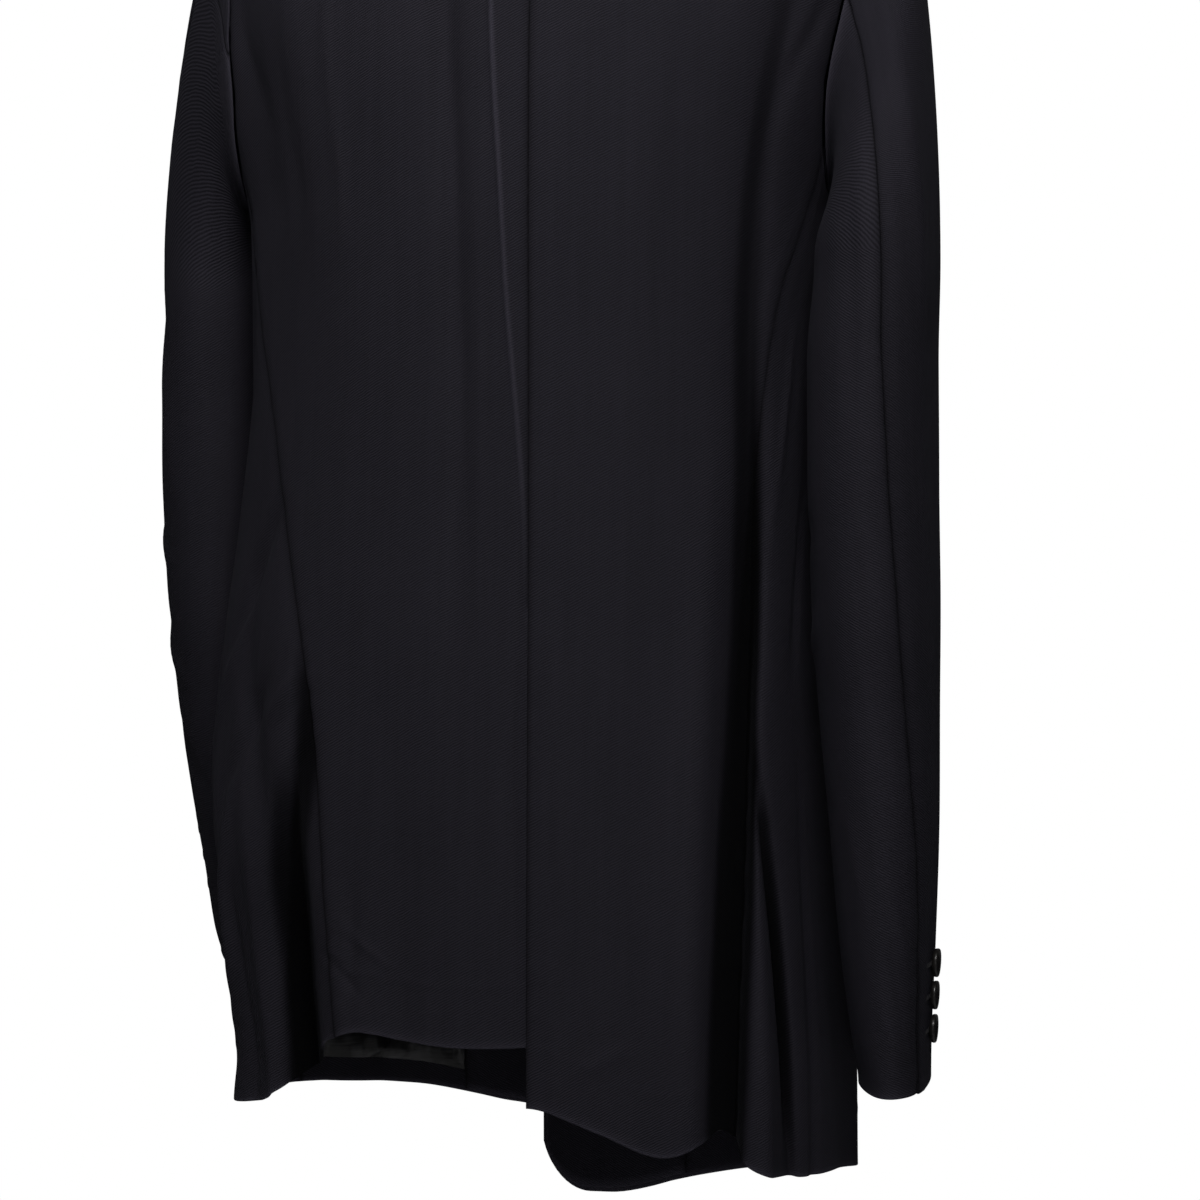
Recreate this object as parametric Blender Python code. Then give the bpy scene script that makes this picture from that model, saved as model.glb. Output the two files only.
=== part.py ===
"""Tailored jacket, hollow and filled out, hung with its back towards +Y.

Metres, +Z up. The origin is at the nape, where the jacket is held. The wearer's
left is +X and the front faces -Y. A bearing is the angle round the body in degrees:
0 at the centre back, 90 at the wearer's left side, 180 at the centre front.
"""

import math

import bmesh
import bpy
from mathutils import Vector

# Driving dimensions
WALL = 0.0020  # cloth with its interlining
SEAM_GAP = 0.0003  # between pieces that are sewn together
LINING_WALL = 0.0010
LINING_GAP = 0.0013  # the lining hangs loose inside the cloth
LAID_GAP = 0.0009  # under buttons, lapels and pocket flaps
VENT_TOP = -0.465
VENT_UNDERLAP = 0.040
FRONT_LAP_LEFT = -0.010  # x of the left front's edge, which lies on top
FRONT_LAP_RIGHT = 0.030  # x of the right front's edge, which lies under it
VENT_INSET = 0.0036  # how far the vent's underlap lies inside its overlap
VENT_BLEND = 0.020  # how far above the vent its underlap begins to turn in
VENT_CORNER = 0.012  # height of the slanting top of the underlap
FRONT_INSET = 0.0050  # how far the right front lies inside the left one, with its facing between
FRONT_INSET_X = (-0.046, -0.014)  # where that inset begins and is complete
FRONT_INSET_HEIGHT = (-0.235, -0.280)
BREAK_HEIGHT = -0.400  # where the lapels begin to turn
NECK_HALF = 0.058  # x of the roll line where it meets the neck
LAPEL_WIDTH = 0.088
LAPEL_TOP = -0.064
LAPEL_TIP_DROP = 0.034  # how far the lapel's tip lies below its inner end
HEM_ALLOWANCE = 0.024  # self cloth below the lining
FACING_WIDTH = 0.085
CUFF_BUTTON = (0.0075, 0.0030)  # radius and thickness
FRONT_BUTTON = (0.0100, 0.0034)
BUTTON_SIDES = 12
SKIRT_TOP = -0.640  # rows of a panel fan out to the hem below this height

# The body's sections. Half widths are to the wearer's left and right of the origin.
SECTION_COLUMNS = ("height", "left", "right", "back", "front")
SECTIONS = (
    (0.000, 0.072, 0.072, 0.060, 0.062),
    (-0.010, 0.088, 0.086, 0.069, 0.067),
    (-0.020, 0.116, 0.113, 0.078, 0.072),
    (-0.032, 0.150, 0.146, 0.086, 0.077),
    (-0.044, 0.176, 0.172, 0.091, 0.082),
    (-0.056, 0.188, 0.184, 0.095, 0.086),
    (-0.100, 0.195, 0.181, 0.106, 0.102),
    (-0.150, 0.197, 0.170, 0.113, 0.113),
    (-0.200, 0.187, 0.155, 0.117, 0.120),
    (-0.260, 0.174, 0.143, 0.118, 0.121),
    (-0.340, 0.173, 0.138, 0.116, 0.115),
    (-0.420, 0.180, 0.138, 0.116, 0.110),
    (-0.500, 0.191, 0.140, 0.119, 0.111),
    (-0.580, 0.196, 0.143, 0.122, 0.115),
    (-0.660, 0.186, 0.148, 0.124, 0.120),
    (-0.720, 0.178, 0.151, 0.125, 0.123),
    (-0.840, 0.178, 0.152, 0.125, 0.125),
)

# Drape of the body: height, bearing and depth at a fold's top, the same at its low end, and its
# half width in degrees. A negative depth is a valley. It eases in between the two heights.
FOLDS = (
    (-0.30, -42, 0.000, -0.74, -31.0, 0.012, 6.5),
    (-0.50, -50, 0.000, -0.74, -50.0, 0.006, 4.0),
    (-0.35, 52, 0.000, -0.70, 34.0, 0.005, 5.0),
    (-0.12, 60, -0.007, -0.42, 56.0, 0.000, 9.0),
    (-0.10, 42, 0.003, -0.34, 40.0, 0.000, 7.0),
    (-0.08, 12, -0.003, -0.36, 14.0, 0.000, 7.0),
    (-0.50, 70, 0.000, -0.74, 72.0, 0.006, 8.0),
    (-0.35, 128, 0.000, -0.74, 126.0, -0.010, 9.0),
    (-0.42, 150, 0.000, -0.74, 147.0, 0.006, 10.0),
    (-0.40, -122, 0.000, -0.78, -127.0, -0.011, 9.0),
    (-0.45, -148, 0.000, -0.78, -151.0, 0.007, 10.0),
    (-0.30, 96, 0.000, -0.74, 98.0, -0.005, 9.0),
    (-0.46, -98, 0.000, -0.72, -101.0, 0.012, 10.0),
)
# The deep folds: the way each is pushed in (x, y), then rows of height, bearing, depth and half width
# in degrees.
FOLD_PATHS = (
    ((-0.08, -0.997), (
        (-0.05, -50.0, 0.000, 5.5), (-0.16, -50.0, 0.005, 5.5), (-0.30, -52.5, 0.007, 5.5),
        (-0.40, -52.5, 0.011, 5.0), (-0.47, -50.5, 0.018, 4.3), (-0.53, -48.0, 0.024, 3.8),
        (-0.60, -45.2, 0.028, 3.5), (-0.70, -41.2, 0.030, 3.4), (-0.82, -39.2, 0.030, 3.4),
    )),
    ((-0.10, -0.99), (
        (-0.52, -50.0, 0.000, 2.6), (-0.56, -52.5, 0.004, 2.6), (-0.63, -56.0, 0.008, 2.7),
        (-0.71, -57.5, 0.008, 2.9), (-0.82, -58.5, 0.007, 3.0),
    )),
    ((-0.10, -0.99), (
        (-0.50, 41.0, 0.000, 3.4), (-0.55, 40.8, 0.008, 3.4), (-0.60, 41.5, 0.017, 3.8),
        (-0.66, 44.0, 0.026, 4.2), (-0.72, 45.5, 0.029, 4.4), (-0.82, 46.0, 0.029, 4.4),
    )),
)
FOLD_SHARPNESS = 1.5  # 2 is a soft bell, 1 a sharp wedge

# The hem's height along the bearings. The vent parts the two sides at 0.
HEM_LEFT = (
    (-30, -0.690), (0, -0.692), (15, -0.692), (27, -0.685), (38, -0.700), (46, -0.715), (60, -0.731),
    (75, -0.736), (95, -0.738), (120, -0.740), (145, -0.748), (165, -0.760), (190, -0.772),
)
HEM_RIGHT = (
    (-195, -0.812), (-176, -0.812), (-155, -0.800), (-135, -0.788), (-110, -0.778), (-85, -0.769),
    (-66, -0.766), (-55, -0.762), (-48, -0.755), (-43, -0.742), (-40, -0.736), (-36, -0.740), (-28, -0.746),
    (-15, -0.734), (0, -0.7216),
)
CORNER_WIDTH = 0.030  # of the fronts' rounded lower corners
CORNER_HEIGHT = 0.045

# Side-back seams: height and bearing from the hem up to the armhole.
SEAM_BACK_LEFT = (
    (-0.84, 35.6), (-0.70, 35.6), (-0.60, 36.0), (-0.55, 37.5), (-0.50, 40.5), (-0.40, 52.5), (-0.31, 67), (-0.225, 76),
)
SEAM_BACK_RIGHT = (
    (-0.82, 39.2), (-0.70, 41.2), (-0.60, 45.2), (-0.53, 48.0), (-0.47, 50.5), (-0.40, 52.8), (-0.31, 62), (-0.225, 76),
)
SEAM_FRONT = ((-0.84, 114), (-0.50, 114), (-0.2106, 112))

# The armhole is an oval in bearing and height.
ARM_BEARING = 92
ARM_SPREAD = 26
ARM_HEIGHT = -0.150
ARM_RISE = 0.094
ARM_INSIDE = 0.992  # the sleeve starts just inside the armhole's edge
SLEEVE_LIFT = 0.0007  # and just off the body's face

# Sleeves: middle x and y, height, half breadth across and half depth fore and aft.
SLEEVE_COLUMNS = ("x", "y", "height", "across", "deep")
SLEEVE_LEFT = (
    (0.2055, -0.062, -0.285, 0.0335, 0.066),
    (0.2075, -0.070, -0.340, 0.0350, 0.067),
    (0.2090, -0.078, -0.400, 0.0360, 0.066),
    (0.2090, -0.086, -0.455, 0.0360, 0.064),
    (0.2080, -0.098, -0.510, 0.0350, 0.061),
    (0.2070, -0.115, -0.560, 0.0325, 0.059),
    (0.2050, -0.134, -0.605, 0.0290, 0.058),
    (0.2035, -0.152, -0.643, 0.0255, 0.058),
    (0.2025, -0.163, -0.667, 0.0235, 0.058),
)
SLEEVE_RIGHT = (
    (-0.1745, 0.045, -0.285, 0.0325, 0.066),
    (-0.1720, 0.044, -0.340, 0.0340, 0.067),
    (-0.1720, 0.044, -0.400, 0.0340, 0.066),
    (-0.1735, 0.044, -0.460, 0.0335, 0.064),
    (-0.1755, 0.042, -0.520, 0.0318, 0.062),
    (-0.1780, 0.040, -0.580, 0.0292, 0.061),
    (-0.1795, 0.038, -0.640, 0.0255, 0.060),
    (-0.1815, 0.036, -0.685, 0.0215, 0.059),
    (-0.1835, 0.034, -0.716, 0.0190, 0.058),
)
# Where the elbow seam runs round a sleeve: 0 is straight behind, 90 is outside.
ELBOW_LEFT = (
    (-0.67, 70), (-0.55, 84), (-0.36, 92), (-0.30, 80), (-0.26, 66), (-0.23, 57), (-0.20, 44), (-0.166, -10),
)
ELBOW_RIGHT = (
    (-0.74, 42), (-0.64, 42), (-0.55, 32), (-0.41, 19), (-0.28, 8), (-0.21, 2), (-0.17, 2), (-0.14, 4),
)
INNER_SEAM = -155  # the forearm seam, at the front near the body
SLEEVE_GAP = 0.35  # half of a sleeve seam's gap, in degrees round the sleeve
CAP_DROP = 0.030  # how steeply the sleeve head leaves the shoulder
CAP_REACH = 0.011  # how far the sleeve head first runs outwards
CAP_STEPS = 6  # rows between the armhole and the first free section
BUTTON_HEIGHTS_LEFT = (-0.600, -0.617, -0.635)
BUTTON_HEIGHTS_RIGHT = (-0.6520, -0.6690, -0.6865)
BUTTON_ANGLE_LEFT = 92
BUTTON_ANGLE_RIGHT = 72
FRONT_BUTTON_DROPS = (0.012, 0.112)  # below the break

LAPEL_ROLL = 0.0055  # how far the lapels bulge off the fronts
LAPEL_FOOT_RIGHT = (-0.283, 0.066)  # the right lapel leaves the left front's edge here, and slants
COLLAR_ROLL = 0.004
STAND_INSET = 0.0034  # the stand's front ends lie inside the lapels' roll
FLAP_TOP = -0.500
FLAP_DROP = 0.055
FLAP_SLANT = 0.006
FLAP_BEARINGS = (156, 122)
FLAP_CORNER = 0.008

ANGLE_STEP = 0.4  # for normals, in degrees
HEIGHT_STEP = 0.002
FADE = 0.06  # a fold fades out over this height above its top

CLOTH = ((0.020, 0.020, 0.024), 0.80)
SATIN = ((0.012, 0.012, 0.014), 0.32)
HORN = ((0.015, 0.014, 0.014), 0.35)


def smooth(value):
    """Ease from 0 to 1."""
    value = min(1.0, max(0.0, value))
    return value * value * (3 - 2 * value)


def read_table(rows, key, column=1):
    """A smooth curve through a table's rows, whose first column is the key."""
    rows = sorted(rows)
    keys = [row[0] for row in rows]
    values = [row[column] for row in rows]
    key = min(keys[-1], max(keys[0], key))
    last = len(rows) - 1
    at = max(i for i in range(last) if keys[i] <= key)

    def slope(i):
        if i in (0, last):
            return 0.0
        before = (values[i] - values[i - 1]) / (keys[i] - keys[i - 1])
        after = (values[i + 1] - values[i]) / (keys[i + 1] - keys[i])
        if before * after <= 0:
            return 0.0
        return 2 * before * after / (before + after)

    span = keys[at + 1] - keys[at]
    t = (key - keys[at]) / span
    first = values[at] * (1 + 2 * t) * (1 - t) ** 2 + slope(at) * span * t * (1 - t) ** 2
    second = values[at + 1] * (3 - 2 * t) * t * t - slope(at + 1) * span * t * t * (1 - t)
    return first + second


def fold_depth(bearing, height):
    total = 0.0
    for top, top_bearing, top_depth, low, low_bearing, low_depth, half_width in FOLDS:
        share = smooth((top - height) / (top - low))
        middle = top_bearing + (low_bearing - top_bearing) * share
        away = (bearing - middle + 180) % 360 - 180
        depth = top_depth + (low_depth - top_depth) * share
        if height > top:
            depth *= smooth(1 - (height - top) / FADE)
        total += depth * math.exp(-((away / half_width) ** 2))
    return total


def fold_push(bearing, height):
    """How far the deep folds push the cloth in, as a vector."""
    push = Vector((0, 0, 0))
    for way, rows in FOLD_PATHS:
        middle, depth, half_width = (read_table(rows, height, column) for column in (1, 2, 3))
        away = abs((bearing - middle + 180) % 360 - 180)
        push += Vector((*way, 0)) * depth * math.exp(-((away / half_width) ** FOLD_SHARPNESS))
    return push


def body_plain(bearing, height):
    """A point of the body's cloth before its folds."""
    turn = math.radians(bearing)
    across = "left" if math.sin(turn) > 0 else "right"
    deep = "back" if math.cos(turn) > 0 else "front"
    width = read_table(SECTIONS, height, SECTION_COLUMNS.index(across))
    depth = read_table(SECTIONS, height, SECTION_COLUMNS.index(deep))
    return Vector((width * math.sin(turn), depth * math.cos(turn), height))


def body_rolled(bearing, height):
    """A point of the body's cloth with its soft folds."""
    point = body_plain(bearing, height)
    ahead = body_plain(bearing + ANGLE_STEP, height) - body_plain(bearing - ANGLE_STEP, height)
    outward = Vector((ahead.y, -ahead.x, 0)).normalized()
    if outward.dot(Vector((point.x, point.y, 0))) < 0:
        outward.negate()
    return point + outward * fold_depth(bearing, height)


def body_folded(bearing, height):
    return body_rolled(bearing, height) + fold_push(bearing, height)


def body_point(bearing, height, lift=0.0):
    """A point of the body's cloth, moved out along its normal by lift."""
    point = body_folded(bearing, height)
    if lift == 0.0:
        return point
    around = body_folded(bearing + ANGLE_STEP, height) - body_folded(bearing - ANGLE_STEP, height)
    upward = body_folded(bearing, height + HEIGHT_STEP) - body_folded(bearing, height - HEIGHT_STEP)
    normal = upward.cross(around).normalized()
    return point + normal * lift


def finish(name, bm, look):
    """Makes a named object from a bmesh, with its material."""
    colour, roughness = look
    mesh = bpy.data.meshes.new(name)
    bmesh.ops.triangulate(bm, faces=bm.faces)
    bmesh.ops.recalc_face_normals(bm, faces=bm.faces)
    bm.to_mesh(mesh)
    bm.free()
    mesh.shade_smooth()
    mesh.set_sharp_from_angle(angle=math.radians(40))
    material = bpy.data.materials.new(name)
    material.use_nodes = True
    shader = material.node_tree.nodes["Principled BSDF"]
    shader.inputs["Base Color"].default_value = (*colour, 1)
    shader.inputs["Roughness"].default_value = roughness
    shader.inputs["Metallic"].default_value = 0.0
    mesh.materials.append(material)
    piece = bpy.data.objects.new(name, mesh)
    bpy.context.collection.objects.link(piece)
    return piece


def wall(name, outer, inner, look):
    """A closed wall between two grids of points, each a list of rows."""
    bm = bmesh.new()
    layers = [[[bm.verts.new(p) for p in row] for row in grid] for grid in (outer, inner)]
    rows, columns = len(outer), len(outer[0])
    for layer in layers:
        for i in range(rows - 1):
            for j in range(columns - 1):
                bm.faces.new((layer[i][j], layer[i][j + 1], layer[i + 1][j + 1], layer[i + 1][j]))
    rim = [(0, j) for j in range(columns - 1)]
    rim += [(i, columns - 1) for i in range(rows - 1)]
    rim += [(rows - 1, j) for j in range(columns - 1, 0, -1)]
    rim += [(i, 0) for i in range(rows - 1, 0, -1)]
    for (i, j), (k, m) in zip(rim, rim[1:] + rim[:1]):
        bm.faces.new((layers[0][i][j], layers[0][k][m], layers[1][k][m], layers[1][i][j]))
    return finish(name, bm, look)


def spread(count):
    return [i / count for i in range(count + 1)]


# Shares of a panel's width where its columns stand, closer at a lap or a rounded corner.
BACK_LEFT_SHARES = (0, 0.13, 0.27, 0.31, 0.36, 0.44, 0.53, 0.62, 0.71, 0.79, 0.87, 0.94, 1)
BACK_RIGHT_SHARES = (0, 0.13, 0.26, 0.38, 0.49, 0.57, 0.63, 0.69, 0.74, 0.79, 0.84, 0.88, 0.92, 0.96, 1)
SIDE_SHARES = (0, 0.035, 0.07, 0.105, 0.14, 0.175, 0.21, 0.245, 0.285, 0.34, 0.42, 0.54, 0.68, 0.84, 1)
FRONT_SHARES = (0, 0.09, 0.19, 0.30, 0.41, 0.52, 0.63, 0.73, 0.82, 0.89, 0.94, 0.98, 1)
SIDE_TOP = -0.262  # the side bodies' rows fan out to the armhole above this height
BACK_ARM_LEVELS = (-0.2435, -0.225, -0.203, -0.178, -0.150, -0.124, -0.102)
FRONT_ARM_LEVELS = (-0.2363, -0.2106, -0.188, -0.165, -0.142, -0.119, -0.100)
SHOULDER_LEVELS = (-0.085, -0.072, -0.063, -0.058, -0.056, -0.046, -0.034, -0.022, -0.011, -0.003)


def levels(bottom, top, step=0.040):
    """Evenly spaced heights, without the last one."""
    count = max(1, round((top - bottom) / step))
    return [bottom + (top - bottom) * i / count for i in range(count)]


def body_levels():
    """Heights of the rows that all panels share, so that their seams match."""
    vent = [VENT_TOP - VENT_CORNER, VENT_TOP, VENT_TOP + VENT_BLEND]
    return levels(SKIRT_TOP, vent[0]) + vent + levels(vent[-1], SIDE_TOP)[1:] + [SIDE_TOP]


def arm_edge(height, side):
    """The armhole's bearing at a height, on its back (side -1) or front (side 1) edge."""
    share = (height - ARM_HEIGHT) / ARM_RISE
    return ARM_BEARING + side * ARM_SPREAD * math.sqrt(max(0.0, 1 - share * share))


def side_edge(height, seam, side):
    """The bearing of a panel's side edge: its seam, then the armhole, then the shoulder seam."""
    joint = max(row[0] for row in seam)
    if height <= joint:
        return read_table(seam, height)
    return arm_edge(height, side)


def front_edge(height, sign):
    """The bearing of a front's edge, straight to the break and then along the roll line."""
    lap = FRONT_LAP_LEFT if sign > 0 else -FRONT_LAP_RIGHT
    share = max(0.0, (height - BREAK_HEIGHT) / -BREAK_HEIGHT)
    x = sign * (lap + (NECK_HALF - lap) * share)
    width = read_table(SECTIONS, height, SECTION_COLUMNS.index("left" if x > 0 else "right"))
    return sign * 180 - math.degrees(math.asin(x / width))


def bearing_at(x, height, sign):
    """The bearing on the front where the cloth is at x."""
    width = read_table(SECTIONS, height, SECTION_COLUMNS.index("left" if x > 0 else "right"))
    return sign * 180 - math.degrees(math.asin(x / width))


def front_hem(bearing, sign, raised=0.0):
    """The height of a front's hem, rounded up to its edge."""
    height = read_table(HEM_LEFT if sign > 0 else HEM_RIGHT, bearing)
    away = abs(body_plain(bearing, height).x - body_plain(front_edge(height, sign), height).x)
    inside = max(0.0, 1 - away / CORNER_WIDTH)
    return height + raised + CORNER_HEIGHT * (1 - math.sqrt(max(0.0, 1 - inside * inside)))


def gap_in_bearing(height, bearing):
    """Half of the seam gap as an angle."""
    radius = Vector(body_plain(bearing, height)[:2]).length
    return math.degrees(0.5 * SEAM_GAP / radius)


def across(near, far, height, share):
    """The bearing at a share of a panel's width, whose edges are half a seam gap inside its seams."""
    a, b = near(height), far(height)
    gap = math.copysign(gap_in_bearing(height, a), b - a)
    return a + gap + (b - a - 2 * gap) * share


def panel_rows(near, far, hem, heights, shares):
    """A panel's grid of (bearing, height), from the hem up, between two edges."""
    rows = []
    for skirt in (0.0, 0.28, 0.62):
        row = []
        for share in shares:
            bottom = hem(near(SKIRT_TOP) + (far(SKIRT_TOP) - near(SKIRT_TOP)) * share)
            height = bottom + (SKIRT_TOP - bottom) * skirt
            row.append((across(near, far, height, share), height))
        rows.append(row)
    for height in heights:
        rows.append([(across(near, far, height, share), height) for share in shares])
    return rows


def panel_wall(name, rows, look, lift=None, thickness=WALL):
    """A wall of cloth over a grid of (bearing, height); lift gives how far out its face lies."""
    lift = lift or (lambda bearing, height: 0.0)
    outer = [[body_point(b, h, lift(b, h)) for b, h in row] for row in rows]
    inner = [[body_point(b, h, lift(b, h) - thickness) for b, h in row] for row in rows]
    return wall(name, outer, inner, look)


def underlap_edge(height):
    """How far the left back runs on under the right back, below the vent's top."""
    depth = read_table(SECTIONS, height, SECTION_COLUMNS.index("right"))
    reach = math.degrees(VENT_UNDERLAP / depth)
    return -reach * smooth((VENT_TOP - height) / VENT_CORNER)


def underlap_lift(bearing, height):
    inset = smooth((2.4 - bearing) / 2.0)
    return -VENT_INSET * inset * smooth((VENT_TOP + VENT_BLEND - height) / VENT_BLEND)


def make_backs():
    heights = body_levels() + list(BACK_ARM_LEVELS + SHOULDER_LEVELS)
    left = panel_rows(
        underlap_edge,
        lambda h: side_edge(h, SEAM_BACK_LEFT, -1),
        lambda b: read_table(HEM_LEFT, b),
        heights, BACK_LEFT_SHARES,
    )
    panel_wall("back_left", left, CLOTH, underlap_lift)
    right = panel_rows(
        lambda h: 0.0,
        lambda h: -side_edge(h, SEAM_BACK_RIGHT, -1),
        lambda b: read_table(HEM_RIGHT, b),
        heights, BACK_RIGHT_SHARES,
    )
    panel_wall("back_right", right, CLOTH)


def side_top(bearing):
    """The height of the armhole's lower edge at a bearing."""
    share = (bearing - ARM_BEARING) / ARM_SPREAD
    return ARM_HEIGHT - ARM_RISE * math.sqrt(max(0.0, 1 - share * share))


def make_side(name, sign, seam, hem_table):
    """A side body, between its two seams and up to the armhole."""
    def near(height):
        return sign * read_table(seam, height)

    def far(height):
        return sign * read_table(SEAM_FRONT, height)

    rows = panel_rows(near, far, lambda b: read_table(hem_table, b), body_levels(), SIDE_SHARES)
    top_start, top_end = max(seam)[1], max(SEAM_FRONT)[1]
    for rise in (0.5, 1.0):
        row = []
        for share in SIDE_SHARES:
            top = side_top(top_start + (top_end - top_start) * share)
            height = SIDE_TOP + (top - SIDE_TOP) * rise
            row.append((across(near, far, height, share), height))
        rows.append(row)
    panel_wall(name, rows, CLOTH)


def lap_lift(bearing, height):
    """The right front lies inside the left one where they lap."""
    start, end = FRONT_INSET_X
    top, low = FRONT_INSET_HEIGHT
    inset = smooth((body_plain(bearing, height).x - start) / (end - start))
    return -FRONT_INSET * inset * smooth((top - height) / (top - low))


def no_lift(bearing, height):
    return 0.0


def make_fronts():
    for name, sign, lift in (("left", 1, no_lift), ("right", -1, lap_lift)):
        rows = panel_rows(
            lambda h: sign * side_edge(h, SEAM_FRONT, 1),
            lambda h: front_edge(h, sign),
            lambda b: front_hem(b, sign),
            body_levels() + list(FRONT_ARM_LEVELS + SHOULDER_LEVELS), FRONT_SHARES,
        )
        panel_wall("front_" + name, rows, CLOTH, lift)


def make_inside():
    """Facings along the front edges, and the lining beside them."""
    heights = levels(SKIRT_TOP, -0.100) + [-0.100]
    for name, sign, lift in (("left", 1, no_lift), ("right", -1, lap_lift)):
        def inner_edge(height):
            x = body_plain(front_edge(height, sign), height).x + sign * FACING_WIDTH
            return bearing_at(x, height, sign)

        def behind(bearing, height):
            return lift(bearing, height) - WALL - LINING_GAP

        facing = panel_rows(
            inner_edge,
            lambda h: front_edge(h, sign) - sign * 0.6,
            lambda b: front_hem(b, sign, 0.003),
            heights, (0, 0.25, 0.5, 0.72, 0.86, 0.95, 1),
        )
        panel_wall("facing_" + name, facing, CLOTH, behind, LINING_WALL)
        lining = panel_rows(
            lambda h: sign * (side_edge(h, SEAM_FRONT, 1) + 0.8),
            lambda h: inner_edge(h) - sign * 0.2,
            lambda b: front_hem(b, sign, HEM_ALLOWANCE),
            heights, spread(6),
        )
        panel_wall("lining_" + name, lining, SATIN, behind, LINING_WALL)


def lapel_width(height):
    share = (height - BREAK_HEIGHT) / (LAPEL_TOP - BREAK_HEIGHT)
    return LAPEL_WIDTH * math.sin(math.pi / 2 * min(1.0, max(0.0, share) * 1.12)) ** 0.8 + 0.004


def make_lapels():
    """The turned-back tops of the fronts, rolled softly off them."""
    foot, slant = LAPEL_FOOT_RIGHT
    bottoms = {1: lambda u: BREAK_HEIGHT + 0.004, -1: lambda u: foot - slant * u}
    for name, sign in (("left", 1), ("right", -1)):
        outer, inner = [], []
        for t in spread(13):
            row_out, row_in = [], []
            for u in spread(5):
                top = LAPEL_TOP - LAPEL_TIP_DROP * u
                height = bottoms[sign](u) + (top - bottoms[sign](u)) * t
                x = body_plain(front_edge(height, sign), height).x
                x += sign * lapel_width(height) * u
                bearing = bearing_at(x, height, sign)
                lift = LAID_GAP + LAPEL_ROLL * math.sin(math.pi * u)
                row_out.append(body_point(bearing, height, lift + WALL))
                row_in.append(body_point(bearing, height, lift))
            outer.append(row_out)
            inner.append(row_in)
        wall("lapel_" + name, outer, inner, CLOTH)


# The collar, from the centre back (0) to its front ends (1): the height of its fold above the
# neck seam, and the bearing and height where its outer edge lies on the body.
COLLAR_COLUMNS = ("along", "fold rise", "edge bearing", "edge height")
COLLAR = (
    (0.00, 0.026, 0, -0.025),
    (0.25, 0.025, 45, -0.024),
    (0.50, 0.021, 88, -0.019),
    (0.72, 0.014, 138, -0.030),
    (0.86, 0.008, 150, -0.048),
    (1.00, 0.004, 151, -0.078),
)
COLLAR_TURN = 0.72  # where the neckline leaves the neck and follows the roll line
NECK_HEIGHT = -0.003


def neck_point(along, lift=0.0):
    """A point of the neckline; along runs from -1 at the right gorge to 1 at the left."""
    sign = 1 if along >= 0 else -1
    share = abs(along)
    turn = abs(front_edge(NECK_HEIGHT, sign))
    if share <= COLLAR_TURN:
        return body_point(sign * turn * share / COLLAR_TURN, NECK_HEIGHT, lift)
    height = NECK_HEIGHT + (LAPEL_TOP + 0.003 - NECK_HEIGHT) * (share - COLLAR_TURN) / (1 - COLLAR_TURN)
    return body_point(front_edge(height, sign), height, lift)


def make_collar():
    stations = [-1 + 2 * i / 30 for i in range(31)]
    stand_out, stand_in, fall_out, fall_in = [], [], [], []
    for along in stations:
        share = abs(along)
        sign = 1 if along >= 0 else -1
        rise = read_table(COLLAR, share, COLLAR_COLUMNS.index("fold rise"))
        bearing = sign * read_table(COLLAR, share, COLLAR_COLUMNS.index("edge bearing"))
        height = read_table(COLLAR, share, COLLAR_COLUMNS.index("edge height"))
        up = Vector((0, 0, 1))
        seam = neck_point(along)
        out = Vector((seam.x, seam.y, 0)).normalized()
        seam -= out * STAND_INSET * smooth((share - 0.56) / 0.10)
        base = seam + up * 0.0008
        fold = seam + up * rise
        stand_out.append([base + (fold - base) * v for v in spread(2)])
        stand_in.append([base + (fold - base) * v - out * WALL for v in spread(2)])
        start = fold + out * (WALL + 0.0006) - up * 0.0005
        edge = body_point(bearing, height, 0.0022)
        drop = edge - start
        face = Vector((out.x, out.y, 1.1)).normalized()
        lower = [start + drop * v + face * COLLAR_ROLL * math.sin(math.pi * v) for v in spread(4)]
        fall_in.append(lower)
        fall_out.append([p + face * WALL for p in lower])
    wall("collar_stand", stand_out, stand_in, CLOTH)
    wall("collar", fall_out, fall_in, CLOTH)


def sleeve_section(table, height):
    middle = Vector((read_table_by(table, height, "x"), read_table_by(table, height, "y"), height))
    return middle, read_table_by(table, height, "across"), read_table_by(table, height, "deep")


def read_table_by(table, height, column):
    at = SLEEVE_COLUMNS.index(column)
    return read_table([(row[2], row[at]) for row in table], height)


def sleeve_free(table, sign, height, angle):
    """A point of the sleeve below the armhole; the section is square to the sleeve's run."""
    middle, across, deep = sleeve_section(table, height)
    top, low = max(row[2] for row in table), min(row[2] for row in table)
    above = sleeve_section(table, min(top, height + 0.01))[0]
    below = sleeve_section(table, max(low, height - 0.01))[0]
    run = (above - below).normalized()
    outward = Vector((sign, 0, 0))
    outward = (outward - run * outward.dot(run)).normalized()
    backward = run.cross(outward) * sign
    turn = math.radians(angle)
    return middle + outward * across * math.sin(turn) + backward * deep * math.cos(turn)


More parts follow.
